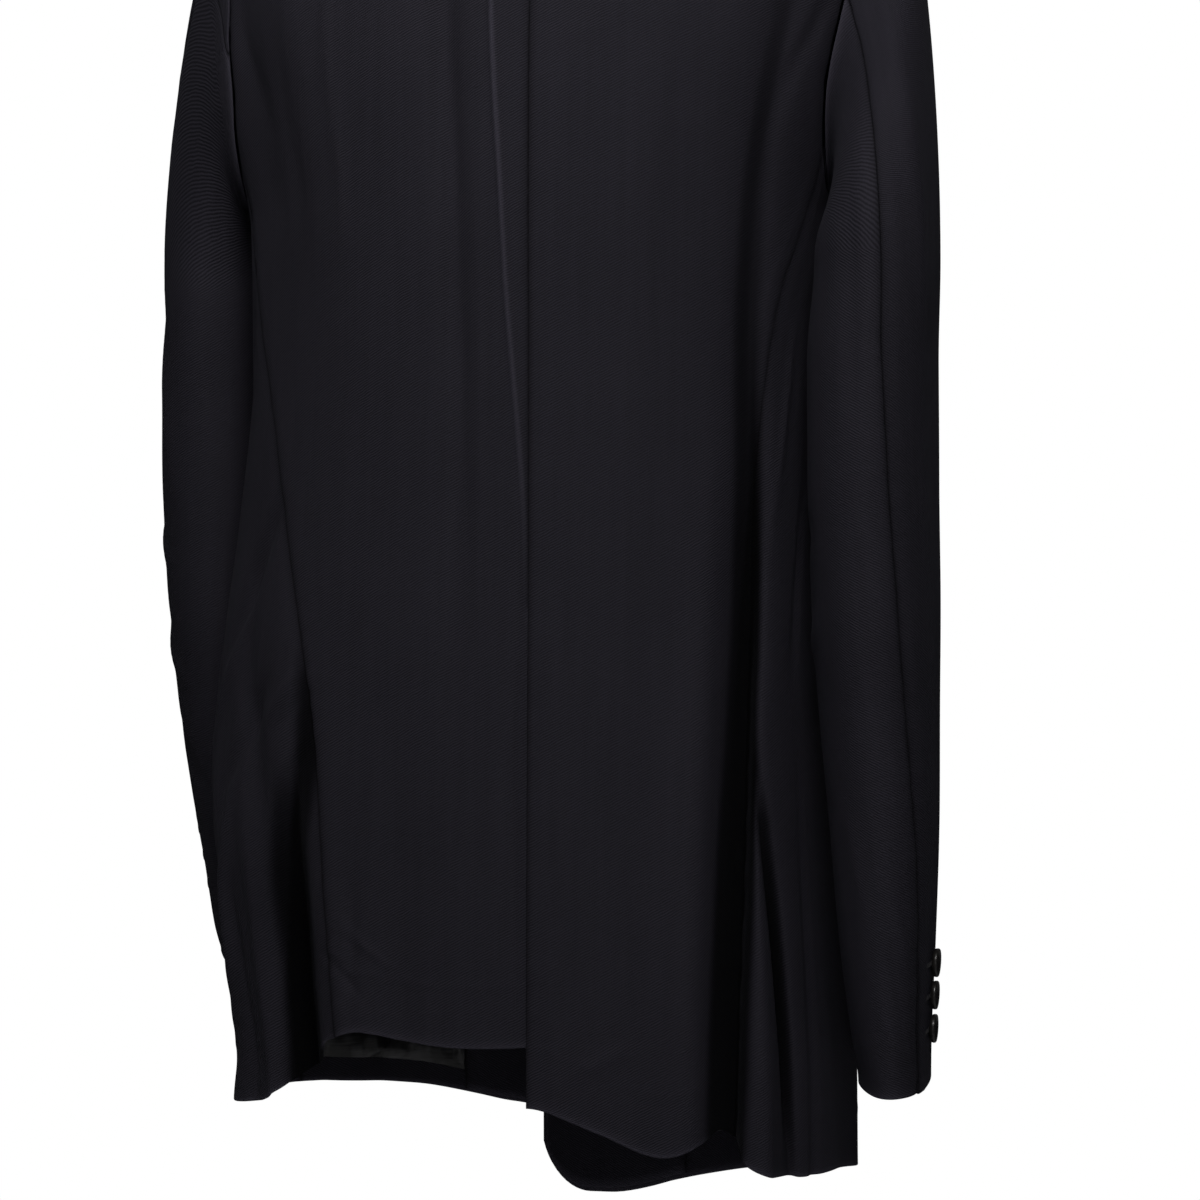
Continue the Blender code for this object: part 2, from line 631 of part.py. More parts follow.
def sleeve_point(table, sign, station, angle):
    """A point of a sleeve: station 0 is the armhole, 1 the first free section, 2 the cuff."""
    top, low = max(row[2] for row in table), min(row[2] for row in table)
    if station >= 1:
        return sleeve_free(table, sign, top + (low - top) * (station - 1), angle)
    turn = math.radians(90 - angle)
    bearing = ARM_BEARING - ARM_SPREAD * ARM_INSIDE * math.sin(turn)
    height = ARM_HEIGHT + ARM_RISE * ARM_INSIDE * math.cos(turn)
    start = body_point(sign * bearing, height, SLEEVE_LIFT)
    end = sleeve_free(table, sign, top, angle)
    crown = (1 + math.cos(turn)) / 2
    leave = Vector((sign * CAP_REACH, 0, -CAP_DROP * crown - 0.003))
    arrive = Vector((0, 0, 0.42 * (end - start).length))
    t = station
    return (
        start * (1 - t) ** 3 + (start + leave) * 3 * t * (1 - t) ** 2
        + (end + arrive) * 3 * t * t * (1 - t) + end * t ** 3
    )


def sleeve_lifted(table, sign, station, angle, lift):
    point = sleeve_point(table, sign, station, angle)
    before, after = max(0.0, station - 0.02), min(2.0, station + 0.02)
    along = sleeve_point(table, sign, after, angle) - sleeve_point(table, sign, before, angle)
    around = sleeve_point(table, sign, station, angle + 2) - sleeve_point(table, sign, station, angle - 2)
    normal = around.cross(along).normalized() * sign
    return point + normal * lift


def elbow_angle(table, elbow, station):
    top, low = max(row[2] for row in table), min(row[2] for row in table)
    pitch = max(row[0] for row in elbow)
    height = top + (low - top) * (station - 1) if station >= 1 else pitch + (top - pitch) * station
    return read_table(elbow, height)


def make_sleeve(name, sign, table, elbow):
    stations = [i / CAP_STEPS for i in range(CAP_STEPS)] + [1 + i / 12 for i in range(13)]
    for piece, columns in (("sleeve_top_", 12), ("sleeve_under_", 7)):
        outer, inner = [], []
        for station in stations:
            seam = elbow_angle(table, elbow, station)
            start, end = (seam, INNER_SEAM + 360) if piece == "sleeve_top_" else (INNER_SEAM, seam)
            width = end - start - 2 * SLEEVE_GAP
            angles = [start + SLEEVE_GAP + width * u for u in spread(columns)]
            outer.append([sleeve_lifted(table, sign, station, a, 0.0) for a in angles])
            inner.append([sleeve_lifted(table, sign, station, a, -WALL) for a in angles])
        wall(piece + name, outer, inner, CLOTH)


def disc(name, centre, normal, size):
    """A button: a turned disc with a rounded rim, its axis along normal."""
    radius, thickness = size
    bm = bmesh.new()
    profile = ((radius * 0.86, 0.0), (radius, 0.35 * thickness), (radius * 0.9, thickness))
    rings = []
    for reach, rise in profile:
        rings.append([
            bm.verts.new((reach * math.cos(math.tau * i / BUTTON_SIDES), reach * math.sin(math.tau * i / BUTTON_SIDES), rise))
            for i in range(BUTTON_SIDES)
        ])
    for low, high in zip(rings, rings[1:]):
        for i in range(BUTTON_SIDES):
            bm.faces.new((low[i], low[(i + 1) % BUTTON_SIDES], high[(i + 1) % BUTTON_SIDES], high[i]))
    bm.faces.new(rings[0][::-1])
    bm.faces.new(rings[-1])
    turn = Vector((0, 0, 1)).rotation_difference(normal).to_matrix()
    for vert in bm.verts:
        vert.co = turn @ vert.co + centre
    finish(name, bm, HORN)


def make_cuff_buttons(name, sign, table, heights, angle):
    top, low = max(row[2] for row in table), min(row[2] for row in table)
    for number, height in enumerate(heights, 1):
        station = 1 + (top - height) / (top - low)
        foot = sleeve_lifted(table, sign, station, angle, 0.0)
        normal = (sleeve_lifted(table, sign, station, angle, 0.01) - foot).normalized()
        disc(f"cuff_button_{name}_{number}", foot + normal * LAID_GAP, normal, CUFF_BUTTON)


def make_front_buttons():
    x = (FRONT_LAP_LEFT + FRONT_LAP_RIGHT) / 2
    for number, drop in enumerate(FRONT_BUTTON_DROPS, 1):
        height = BREAK_HEIGHT - drop
        bearing = bearing_at(x, height, 1)
        foot = body_point(bearing, height)
        normal = (body_point(bearing, height, 0.01) - foot).normalized()
        disc(f"front_button_{number}", foot + normal * LAID_GAP, normal, FRONT_BUTTON)


def make_flaps():
    """Hip pocket flaps, laid on the fronts."""
    near, far = FLAP_BEARINGS
    for name, sign in (("left", 1), ("right", -1)):
        rows = []
        for drop in spread(3):
            row = []
            for share in spread(8):
                corner = FLAP_CORNER * (abs(2 * share - 1) ** 8) * drop
                height = FLAP_TOP - FLAP_DROP * drop + corner - FLAP_SLANT * share
                row.append((sign * (near + (far - near) * share), height))
            rows.append(row)
        panel_wall("pocket_flap_" + name, rows, CLOTH, lambda b, h: LAID_GAP + WALL)


def main():
    for piece in list(bpy.data.objects):
        bpy.data.objects.remove(piece, do_unlink=True)
    make_backs()
    make_side("side_left", 1, SEAM_BACK_LEFT, HEM_LEFT)
    make_side("side_right", -1, SEAM_BACK_RIGHT, HEM_RIGHT)
    make_fronts()
    make_inside()
    make_lapels()
    make_collar()
    make_sleeve("left", 1, SLEEVE_LEFT, ELBOW_LEFT)
    make_sleeve("right", -1, SLEEVE_RIGHT, ELBOW_RIGHT)
    make_cuff_buttons("left", 1, SLEEVE_LEFT, BUTTON_HEIGHTS_LEFT, BUTTON_ANGLE_LEFT)
    make_cuff_buttons("right", -1, SLEEVE_RIGHT, BUTTON_HEIGHTS_RIGHT, BUTTON_ANGLE_RIGHT)
    make_front_buttons()
    make_flaps()


main()
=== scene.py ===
"""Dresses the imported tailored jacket: cloth shells with their drape, lining, buttons and the stage.

A bearing is the angle round the body in degrees: 0 at the centre back, 90 at the wearer's
left side (+X), 180 at the centre front (-Y). Heights are measured from the nape, downwards
negative. A lift is the distance out from the cloth's face.
"""

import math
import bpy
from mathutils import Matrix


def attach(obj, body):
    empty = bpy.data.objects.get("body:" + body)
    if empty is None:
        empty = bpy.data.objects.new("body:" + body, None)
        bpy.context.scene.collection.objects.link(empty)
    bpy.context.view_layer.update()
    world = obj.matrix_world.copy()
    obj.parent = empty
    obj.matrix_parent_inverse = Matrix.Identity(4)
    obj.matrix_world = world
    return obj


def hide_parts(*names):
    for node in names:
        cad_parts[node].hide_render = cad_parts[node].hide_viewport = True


bl_info = {
    "name": "Tailored jacket",
    "version": (1, 0, 0),
    "blender": (4, 5, 0),
    "location": "View3D > Sidebar > Jacket",
    "description": "Builds the cloth, lining, buttons and stage of a tailored jacket",
    "category": "Object",
}

import bmesh
import bpy
import numpy as np
from bpy.props import FloatProperty, FloatVectorProperty, PointerProperty
from mathutils import Matrix, Vector
from mathutils.geometry import delaunay_2d_cdt

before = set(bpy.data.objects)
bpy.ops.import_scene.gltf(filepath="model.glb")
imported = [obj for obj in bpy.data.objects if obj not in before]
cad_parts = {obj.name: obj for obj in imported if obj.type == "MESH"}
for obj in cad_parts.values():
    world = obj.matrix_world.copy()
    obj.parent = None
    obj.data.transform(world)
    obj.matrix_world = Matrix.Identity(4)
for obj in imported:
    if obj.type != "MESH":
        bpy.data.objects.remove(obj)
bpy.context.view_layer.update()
SIDES = (("left", 1), ("right", -1))  # a side's name and the sign of its x and bearings

# ---------------------------------------------------------------- the cut, as in the solids
SECTION_COLUMNS = ("height", "left", "right", "back", "front")
SECTIONS = (
    (0.0, 0.072, 0.072, 0.06, 0.062),
    (-0.01, 0.088, 0.086, 0.069, 0.067),
    (-0.02, 0.116, 0.113, 0.078, 0.072),
    (-0.032, 0.15, 0.146, 0.086, 0.077),
    (-0.044, 0.176, 0.172, 0.091, 0.082),
    (-0.056, 0.188, 0.184, 0.095, 0.086),
    (-0.1, 0.195, 0.181, 0.106, 0.102),
    (-0.15, 0.197, 0.17, 0.113, 0.113),
    (-0.2, 0.187, 0.155, 0.117, 0.12),
    (-0.26, 0.174, 0.143, 0.118, 0.121),
    (-0.34, 0.173, 0.138, 0.116, 0.115),
    (-0.42, 0.18, 0.138, 0.116, 0.11),
    (-0.5, 0.191, 0.14, 0.119, 0.111),
    (-0.58, 0.196, 0.143, 0.122, 0.115),
    (-0.66, 0.186, 0.148, 0.124, 0.12),
    (-0.72, 0.178, 0.151, 0.125, 0.123),
    (-0.84, 0.178, 0.152, 0.125, 0.125),
)
# The large folds, as in the solids: height, bearing and depth at a fold's top, the same at its
# low end, and its half width in degrees. A negative depth is a valley.
FOLDS = (
    (-0.3, -42, 0.0, -0.74, -31.0, 0.012, 6.5),
    (-0.5, -50, 0.0, -0.74, -50.0, 0.006, 4.0),
    (-0.35, 52, 0.0, -0.7, 34.0, 0.005, 5.0),
    (-0.12, 60, -0.007, -0.42, 56.0, 0.0, 9.0),
    (-0.1, 42, 0.003, -0.34, 40.0, 0.0, 7.0),
    (-0.08, 12, -0.003, -0.36, 14.0, 0.0, 7.0),
    (-0.5, 70, 0.0, -0.74, 72.0, 0.006, 8.0),
    (-0.35, 128, 0.0, -0.74, 126.0, -0.01, 9.0),
    (-0.42, 150, 0.0, -0.74, 147.0, 0.006, 10.0),
    (-0.4, -122, 0.0, -0.78, -127.0, -0.011, 9.0),
    (-0.45, -148, 0.0, -0.78, -151.0, 0.007, 10.0),
    (-0.3, 96, 0.0, -0.74, 98.0, -0.005, 9.0),
    (-0.46, -98, 0.0, -0.72, -101.0, 0.012, 10.0),
)
# The deep folds: the way each is pushed in (x, y), then rows of height, bearing, depth and half width
# in degrees.
FOLD_PATHS = (
    ((-0.08, -0.997), (
        (-0.05, -50.0, 0.0, 5.5), (-0.16, -50.0, 0.005, 5.5), (-0.3, -52.5, 0.007, 5.5),
        (-0.4, -52.5, 0.011, 5.0), (-0.47, -50.5, 0.018, 4.3), (-0.53, -48.0, 0.024, 3.8),
        (-0.6, -45.2, 0.028, 3.5), (-0.7, -41.2, 0.03, 3.4), (-0.82, -39.2, 0.03, 3.4),
    )),
    ((-0.1, -0.99), (
        (-0.52, -50.0, 0.0, 2.6), (-0.56, -52.5, 0.004, 2.6), (-0.63, -56.0, 0.008, 2.7),
        (-0.71, -57.5, 0.008, 2.9), (-0.82, -58.5, 0.007, 3.0),
    )),
    ((-0.1, -0.99), (
        (-0.5, 41.0, 0.0, 3.4), (-0.55, 40.8, 0.008, 3.4), (-0.6, 41.5, 0.017, 3.8),
        (-0.66, 44.0, 0.026, 4.2), (-0.72, 45.5, 0.029, 4.4), (-0.82, 46.0, 0.029, 4.4),
    )),
)
FOLD_SHARPNESS = 1.5  # 2 is a soft bell, 1 a sharp wedge
HEM_LEFT = (
    (-30, -0.69), (0, -0.692), (15, -0.69), (27, -0.6865), (37, -0.6925), (46, -0.712), (60, -0.731),
    (75, -0.736), (95, -0.738), (120, -0.74), (145, -0.748), (165, -0.76), (190, -0.772),
)
HEM_RIGHT = (
    (-195, -0.812), (-176, -0.812), (-155, -0.8), (-135, -0.788), (-110, -0.778), (-85, -0.769),
    (-66, -0.766), (-55, -0.762), (-48, -0.755), (-43, -0.742), (-40, -0.736), (-36, -0.74), (-28, -0.746),
    (-15, -0.734), (0, -0.7216),
)
SEAM_BACK_LEFT = (
    (-0.84, 34.0), (-0.7, 34.0), (-0.6, 34.6), (-0.55, 36.3), (-0.5, 39.8), (-0.4, 52.5), (-0.31, 67),
    (-0.225, 76),
)
SEAM_BACK_RIGHT = (
    (-0.82, 39.2), (-0.7, 41.2), (-0.6, 45.2), (-0.53, 48.0), (-0.47, 50.5), (-0.4, 52.8), (-0.31, 62),
    (-0.225, 76),
)
BACK_JOINT, FRONT_JOINT = -0.225, -0.2106  # where the side seams meet the armhole
SEAM_FRONT = ((-0.84, 114), (-0.5, 114), (-0.2106, 112))
ARM_BEARING = 92
ARM_SPREAD = 26
ARM_HEIGHT = -0.15
ARM_RISE = 0.094
ARM_ROWS, UNDERARM_ROWS = 36, 17
SLEEVE_COLUMNS = ("x", "y", "height", "across", "deep")
SLEEVE_LEFT = (
    (0.2055, -0.062, -0.285, 0.0335, 0.066),
    (0.2075, -0.07, -0.34, 0.035, 0.067),
    (0.209, -0.078, -0.4, 0.036, 0.066),
    (0.209, -0.086, -0.455, 0.036, 0.064),
    (0.208, -0.098, -0.51, 0.035, 0.061),
    (0.208, -0.115, -0.56, 0.0325, 0.059),
    (0.208, -0.134, -0.605, 0.0298, 0.058),
    (0.209, -0.152, -0.643, 0.0275, 0.058),
    (0.208, -0.163, -0.667, 0.0265, 0.058),
)
SLEEVE_RIGHT = (
    (-0.1745, 0.045, -0.285, 0.0325, 0.066),
    (-0.172, 0.044, -0.34, 0.034, 0.067),
    (-0.172, 0.044, -0.4, 0.034, 0.066),
    (-0.1735, 0.044, -0.46, 0.0335, 0.064),
    (-0.1755, 0.042, -0.52, 0.0318, 0.062),
    (-0.178, 0.04, -0.58, 0.0292, 0.061),
    (-0.1795, 0.038, -0.64, 0.0255, 0.06),
    (-0.1815, 0.036, -0.685, 0.0215, 0.059),
    (-0.1835, 0.034, -0.716, 0.019, 0.058),
)
ELBOW_LEFT = (
    (-0.67, 70), (-0.55, 84), (-0.36, 92), (-0.3, 80), (-0.26, 66), (-0.23, 57), (-0.2, 44), (-0.166, -10),
)
ELBOW_RIGHT = (
    (-0.74, 42), (-0.64, 42), (-0.55, 32), (-0.41, 19), (-0.28, 8), (-0.21, 2), (-0.17, 2), (-0.14, 4),
)
INNER_SEAM = -155
VENT_TOP = -0.465
VENT_UNDERLAP = 0.04
VENT_INSET = 0.0036
VENT_FADE = 0.03
INSET_ABOVE, INSET_FADE = 0.035, 0.09  # where above the vent the inset starts, and over what height
INSET_BEARING, INSET_OVER = 2.4, 2.0
FRONT_LAP = {1: -0.01, -1: -0.03}  # the front edges' x, mirrored for the right front
FRONT_INSET = 0.005
LAP_FROM, LAP_OVER = 0.046, 0.032  # how far across and over what width it goes in
LAP_TOP, LAP_FADE = -0.235, 0.045
BREAK_HEIGHT = -0.4
NECK_HALF = 0.058
LAPEL_WIDTH = 0.088
LAPEL_TOP = -0.064
LAPEL_TIP_DROP = 0.034
LAPPED_LAPEL, LAPPED_LAPEL_DROP = -0.283, 0.066  # where the left front covers the right lapel
SEAT_GAP = 0.0009  # lapels, flaps and buttons are seated this far off the cloth
CORNER_WIDTH = 0.03
CORNER_HEIGHT = 0.045
FACING_WIDTH = 0.085
LINING_GAP = 0.0013
CLOTH_DEPTH = 0.002  # of the fronts' walls, in front of the facings and lining
INSIDE_THICKNESS = 0.001
INSIDE_TOP, INSIDE_SPACING = -0.1, 0.008
LINING_PUFF = (0.0026, 0.012, 0.01)  # height, distance from the lining's hem, half width
LINING_CREASE, LINING_EASE = 0.0016, 0.0008
LINING_HELD, LINING_SETTLE = 0.004, 0.09  # above its hem: sewn down, and where the creases fade
FACING_BACK, LINING_START, LINING_LAP = 0.6, 0.8, 0.2  # degrees from the edge, the seam and the facing
FACING_UP = 0.003
CAP_DROP = 0.03
CAP_REACH, CAP_FALL, CAP_ROUNDNESS = 0.011, 0.003, 0.42
SLEEVE_LIFT = 0.0007
ARM_INSIDE = 0.992
SEAM_GAP = -0.0002  # the shells just meet in their rounded edges
SLEEVE_GAP = -0.05  # half of a sleeve seam, in degrees: the shells just meet
SLIT_TOP = {1: -0.588, -1: -0.64}  # where the cuff opens along the elbow seam
SLIT_LIFT, SLIT_WIDTH = 0.0009, 0.01
SKIRT_TOP = -0.64  # below it the rows follow the hem
SIDE_TOP = -0.262
HEM_ALLOWANCE = {1: 0.014, -1: 0.024}  # self cloth below the lining
# Side, sign, heights, and the angle round the sleeve.
CUFF_BUTTONS = (("left", 1, (-0.6, -0.617, -0.635), 92), ("right", -1, (-0.652, -0.669, -0.6865), 72))
FRONT_BUTTON_DROPS = (0.012, 0.112)  # below the lapels' break
CUFF_BUTTON, FRONT_BUTTON = (0.0075, 0.003), (0.01, 0.0034)  # radius and thickness
BUTTON_FLOOR = 0.62  # of the thickness, in the dished middle
BUTTON_DISH, HOLE_PLACE, HOLE_RADIUS, HOLE_CLEAR = 0.68, 0.19, 0.095, 0.09  # of the radius
BUTTON_SIDES, HOLE_SIDES = 64, 12
THREAD_GAP, THREAD_DIP, THREAD_RISE = 0.0001, 0.001, 0.00025
CUFF_HOLE = (2.0, -13.5)  # in degrees from the button
FRONT_HOLE = (-0.003, 0.015)  # in metres from the button
HOLE_POINTS, HOLE_LIFT = 24, 0.00012
# Distance, length and radius of the stitches.
WINDING, CUFF_HOLE_STITCH = (0.00022, 0.0007, 0.00013), (0.00042, 0.0021, 0.00021)
FRONT_HOLE_STITCH = (0.00045, 0.0024, 0.00022)
# A button's outline from the top's rim round to the underside, as shares of radius and thickness.
BUTTON_RIM = (
    (0.74, 0.66), (0.8, 0.86), (0.87, 0.98), (0.94, 0.98), (0.985, 0.86), (1.0, 0.6), (0.975, 0.28),
    (0.9, 0.06), (0.8, 0.0),
)
COLLAR_TURN = 0.72
NECK_HEIGHT = -0.003
# Along, rise of the fold, bearing and height of the outer edge.
COLLAR = (
    (0.0, 0.026, 0, -0.025),
    (0.25, 0.025, 45, -0.024),
    (0.5, 0.021, 88, -0.019),
    (0.72, 0.014, 138, -0.03),
    (0.86, 0.008, 150, -0.048),
    (1.0, 0.004, 151, -0.078),
)

# Name, place, aim, size, share of the power, colour.
LIGHTS = (
    ("key", (-0.22, 1.25, 0.72), (-0.05, 0.05, -0.2), (0.5, 0.35), 0.76, (1.0, 0.98, 0.97)),
    ("over", (0.55, 0.8, 0.75), (0.1, 0.05, -0.1), (0.7, 0.5), 0.13, (1.0, 1.0, 1.0)),
    ("low", (-0.25, 1.55, -0.55), (0.05, -0.05, -0.7), (0.25, 0.25), 0.05, (1.0, 1.0, 1.0)),
    ("front", (-0.8, -2.2, 0.9), (0.0, 0.0, -0.4), (1.6, 1.2), 0.06, (1.0, 1.0, 1.0)),
)

# ---------------------------------------------------------------- fine drape of this scene
# Creases that run down the body: half width in degrees, then rows of height, bearing and depth.
# A negative depth is a trough.
BODY_CREASES = (
    (0.5, (
        (0.0, 6.2, 0.0003), (-0.157, 5.9, 0.0014), (-0.3, 3.9, 0.0014), (-0.375, 1.8, 0.001), (-0.44, 0.5, 0.0),
    )),
    (2.6, (
        (-0.04, 14.5, 0.0), (-0.16, 14.0, -0.006), (-0.27, 13.5, -0.0052), (-0.4, 12.0, -0.0034),
        (-0.6, 11.0, 0.0),
    )),
    (9.0, ((-0.18, -96.0, 0.0), (-0.225, -97.0, 0.005), (-0.25, -97.0, 0.005), (-0.32, -98.0, 0.0))),
    (1.6, ((-0.06, 17.0, 0.0), (-0.157, 16.0, 0.0009), (-0.3, 15.5, 0.0006), (-0.42, 15.0, 0.0))),
    (1.1, ((-0.1, 33.0, 0.0), (-0.16, 34.5, 0.0014), (-0.23, 35.5, 0.0012), (-0.33, 37.0, 0.0))),
    (2.8, ((-0.1, 46.0, 0.0), (-0.22, 48.0, -0.0016), (-0.34, 49.0, 0.0))),
    (3.5, ((-0.08, -14.0, 0.0), (-0.2, -14.5, -0.0012), (-0.33, -16.0, -0.0008), (-0.5, -18.0, 0.0))),
    (3.0, ((-0.1, -25.0, 0.0), (-0.22, -25.0, 0.001), (-0.42, -22.0, 0.0007), (-0.6, -20.0, 0.0))),
    (2.2, ((-0.48, -7.0, 0.0), (-0.6, -6.5, 0.001), (-0.72, -6.0, 0.0014), (-0.8, -6.0, 0.0014))),
    (3.2, ((-0.5, 19.0, 0.0), (-0.6, 20.0, -0.001), (-0.69, 21.0, -0.0022), (-0.8, 21.0, -0.0022))),
    (1.8, ((-0.56, 26.0, 0.0), (-0.64, 27.0, 0.001), (-0.7, 28.0, 0.0018), (-0.8, 28.0, 0.0018))),
    (2.4, (
        (-0.55, 60.0, 0.0), (-0.59, 64.0, 0.004), (-0.64, 68.0, 0.0055), (-0.69, 72.0, 0.0035),
        (-0.73, 76.0, 0.0),
    )),
    (4.0, ((-0.4, 62.0, 0.0), (-0.5, 58.0, -0.003), (-0.56, 52.0, -0.004), (-0.62, 50.0, 0.0))),
    (2.2, ((-0.54, 57.0, 0.0), (-0.62, 55.0, 0.002), (-0.7, 55.0, 0.0026), (-0.8, 55.0, 0.0026))),
    (2.0, ((-0.5, 66.0, 0.0), (-0.6, 65.0, -0.0016), (-0.73, 62.0, -0.0024), (-0.8, 62.0, -0.0024))),
    (11.0, (
        (-0.55, 80.0, 0.0), (-0.61, 80.0, -0.005), (-0.64, 80.0, -0.01), (-0.668, 80.0, -0.0115),
        (-0.695, 80.0, -0.008), (-0.74, 80.0, 0.0),
    )),
    (1.6, (
        (-0.55, -52.5, 0.0), (-0.6, -54.8, -0.005), (-0.66, -56.8, -0.0065), (-0.72, -57.8, -0.005),
        (-0.78, -58.4, 0.0),
    )),
    (3.0, ((-0.34, 104.0, 0.0), (-0.48, 107.0, -0.0022), (-0.64, 106.0, -0.0012), (-0.78, 105.0, 0.0))),
    (2.2, ((-0.44, 118.0, 0.0), (-0.56, 120.0, 0.0016), (-0.7, 121.0, 0.002), (-0.8, 121.0, 0.002))),
    (3.2, ((-0.4, 139.0, 0.0), (-0.54, 138.0, 0.0016), (-0.7, 137.0, 0.001), (-0.8, 137.0, 0.001))),
    (2.6, ((-0.46, 163.0, 0.0), (-0.6, 164.0, -0.0014), (-0.74, 163.0, -0.002), (-0.82, 163.0, -0.002))),
    (2.8, ((-0.34, -98.0, 0.0), (-0.47, -101.0, 0.0018), (-0.62, -103.0, 0.001), (-0.78, -104.0, 0.0))),
    (2.4, ((-0.44, -116.0, 0.0), (-0.58, -115.0, 0.0018), (-0.72, -116.0, 0.0026), (-0.82, -116.0, 0.0026))),
    (3.4, ((-0.42, -137.0, 0.0), (-0.56, -138.0, -0.0016), (-0.72, -139.0, -0.0012), (-0.82, -139.0, -0.0012))),
    (2.6, ((-0.5, -163.0, 0.0), (-0.64, -162.0, 0.0014), (-0.78, -163.0, 0.002), (-0.82, -163.0, 0.002))),
    (1.8, ((-0.52, -70.0, 0.0), (-0.62, -69.0, -0.0014), (-0.76, -69.0, -0.0022), (-0.82, -69.0, -0.0022))),
)
# Painted highlights on the crease tops: half width in degrees, then rows of height, bearing and brightness.
PAINTED_CREASE_HIGHLIGHTS = (
    (0.42, (
        (-0.02, 6.2, 0.0), (-0.1, 6.2, 0.75), (-0.157, 5.9, 0.75), (-0.3, 3.9, 0.65), (-0.375, 1.8, 0.55),
        (-0.43, 0.6, 0.35), (-0.5, 0.3, 0.0),
    )),
)
# Painted shade where light hardly gets in, beside the deep folds: half width in degrees, then rows of height,
# bearing and darkness of the painted shade.
PAINTED_SHADE_CREASES = (
    (2.4, (
        (-0.1, -48.5, 0.0), (-0.2, -49.0, 0.45), (-0.39, -49.3, 0.75), (-0.45, -48.3, 0.85),
        (-0.53, -45.2, 0.9), (-0.6, -41.5, 0.95), (-0.72, -37.0, 1.0), (-0.8, -36.2, 1.0),
    )),
    (2.3, (
        (-0.55, -52.6, 0.0), (-0.58, -54.2, 0.8), (-0.66, -57.2, 1.0), (-0.72, -58.2, 0.9), (-0.78, -58.8, 0.3),
    )),
    (3.0, (
        (-0.485, 39.5, 0.0), (-0.505, 38.6, 0.75), (-0.54, 38.4, 0.9), (-0.57, 39.4, 0.9), (-0.6, 41.0, 0.9),
        (-0.66, 42.0, 0.9), (-0.8, 42.0, 0.9),
    )),
    (4.2, ((-0.54, 42.0, 0.0), (-0.57, 43.0, 0.7), (-0.61, 44.8, 0.9), (-0.72, 45.4, 0.9), (-0.8, 45.6, 0.8))),
)
# Short slanting creases: bearing and height at both ends, depth, and half width in metres.
BODY_DRAGS = (
    (50, -0.405, 70, -0.5, -0.0042, 0.008),
    (48, -0.5, 66, -0.57, -0.0034, 0.007),
    (56, -0.455, 78, -0.55, 0.0026, 0.007),
    (40, -0.498, 50, -0.528, 0.0014, 0.003),
    (38, -0.508, 48, -0.538, -0.0014, 0.003),
    (37, -0.528, 43, -0.552, 0.0012, 0.003),
    (88, -0.42, 72, -0.54, -0.002, 0.007),
    (92, -0.54, 76, -0.66, 0.0016, 0.006),
    (70, -0.285, 84, -0.37, -0.0016, 0.007),
    (-72, -0.3, -60, -0.43, 0.0014, 0.006),
    (-80, -0.38, -66, -0.52, -0.0016, 0.007),
    (22, -0.655, 34, -0.625, 0.0008, 0.0022),
    (27, -0.672, 37, -0.64, -0.0009, 0.0026),
    (-8, -0.705, -22, -0.69, 0.0008, 0.005),
    (130, -0.33, 158, -0.395, -0.0022, 0.009),
    (126, -0.395, 156, -0.425, 0.0018, 0.008),
    (-128, -0.325, -156, -0.392, 0.002, 0.009),
    (-124, -0.4, -154, -0.43, -0.0018, 0.008),
    (118, -0.1, 134, -0.19, -0.0016, 0.008),
    (-118, -0.095, -136, -0.185, -0.0018, 0.008),
    (66, -0.12, 52, -0.23, -0.0014, 0.008),
    (-66, -0.115, -50, -0.225, -0.0016, 0.008),
)
BODY_DEGREE = 0.0031  # metres round the body to a degree
# The same on the sleeves, whose angle is 0 straight behind and 90 outside.
SLEEVE_DEGREE = 0.0009
LEFT_SLEEVE_DRAGS = (
    (100, -0.245, 40, -0.33, -0.0018, 0.008),
    (60, -0.3, 20, -0.42, 0.0012, 0.009),
    (110, -0.4, 40, -0.44, 0.0016, 0.005),
    (120, -0.425, 50, -0.475, -0.002, 0.0065),
    (95, -0.47, 25, -0.5, 0.0014, 0.0055),
    (70, -0.52, 10, -0.56, -0.0014, 0.006),
    (120, -0.56, 60, -0.59, 0.001, 0.005),
    (200, -0.38, 150, -0.43, -0.0022, 0.007),
    (210, -0.43, 140, -0.455, 0.002, 0.006),
    (205, -0.48, 150, -0.5, -0.0018, 0.006),
    (-20, -0.42, -110, -0.45, -0.0018, 0.007),
    (-30, -0.5, -100, -0.48, 0.0014, 0.007),
    (90, -0.1, 60, -0.19, -0.001, 0.008),
    (130, -0.12, 150, -0.21, -0.0012, 0.009),
)
RIGHT_SLEEVE_DRAGS = (
    (20, -0.19, 60, -0.33, 0.0022, 0.01),
    (-30, -0.23, -8, -0.38, -0.0016, 0.009),
    (60, -0.3, 74, -0.47, -0.0014, 0.009),
    (10, -0.62, 34, -0.655, 0.0012, 0.0045),
    (0, -0.64, 30, -0.68, -0.0014, 0.005),
    (-10, -0.668, 24, -0.7, 0.0012, 0.0045),
    (-40, -0.56, -14, -0.64, 0.001, 0.007),
    (120, -0.4, 176, -0.44, -0.002, 0.007),
    (130, -0.45, 190, -0.462, 0.002, 0.006),
    (110, -0.5, 170, -0.52, -0.0016, 0.006),
    (-60, -0.42, -130, -0.45, -0.0016, 0.007),
    (-50, -0.47, -120, -0.5, 0.0014, 0.007),
    (90, -0.11, 70, -0.19, -0.001, 0.008),
    (140, -0.13, 155, -0.22, -0.0012, 0.009),
)
STEP_ROUND, STEP_UP = 0.4, 0.002  # how far apart the points are that give the cloth's slope
UNEVEN = 0.0006  # how far the pressed cloth still strays
NECK_QUIET, NECK_FADE = -0.04, 0.08  # no creases above, and over what height they set in


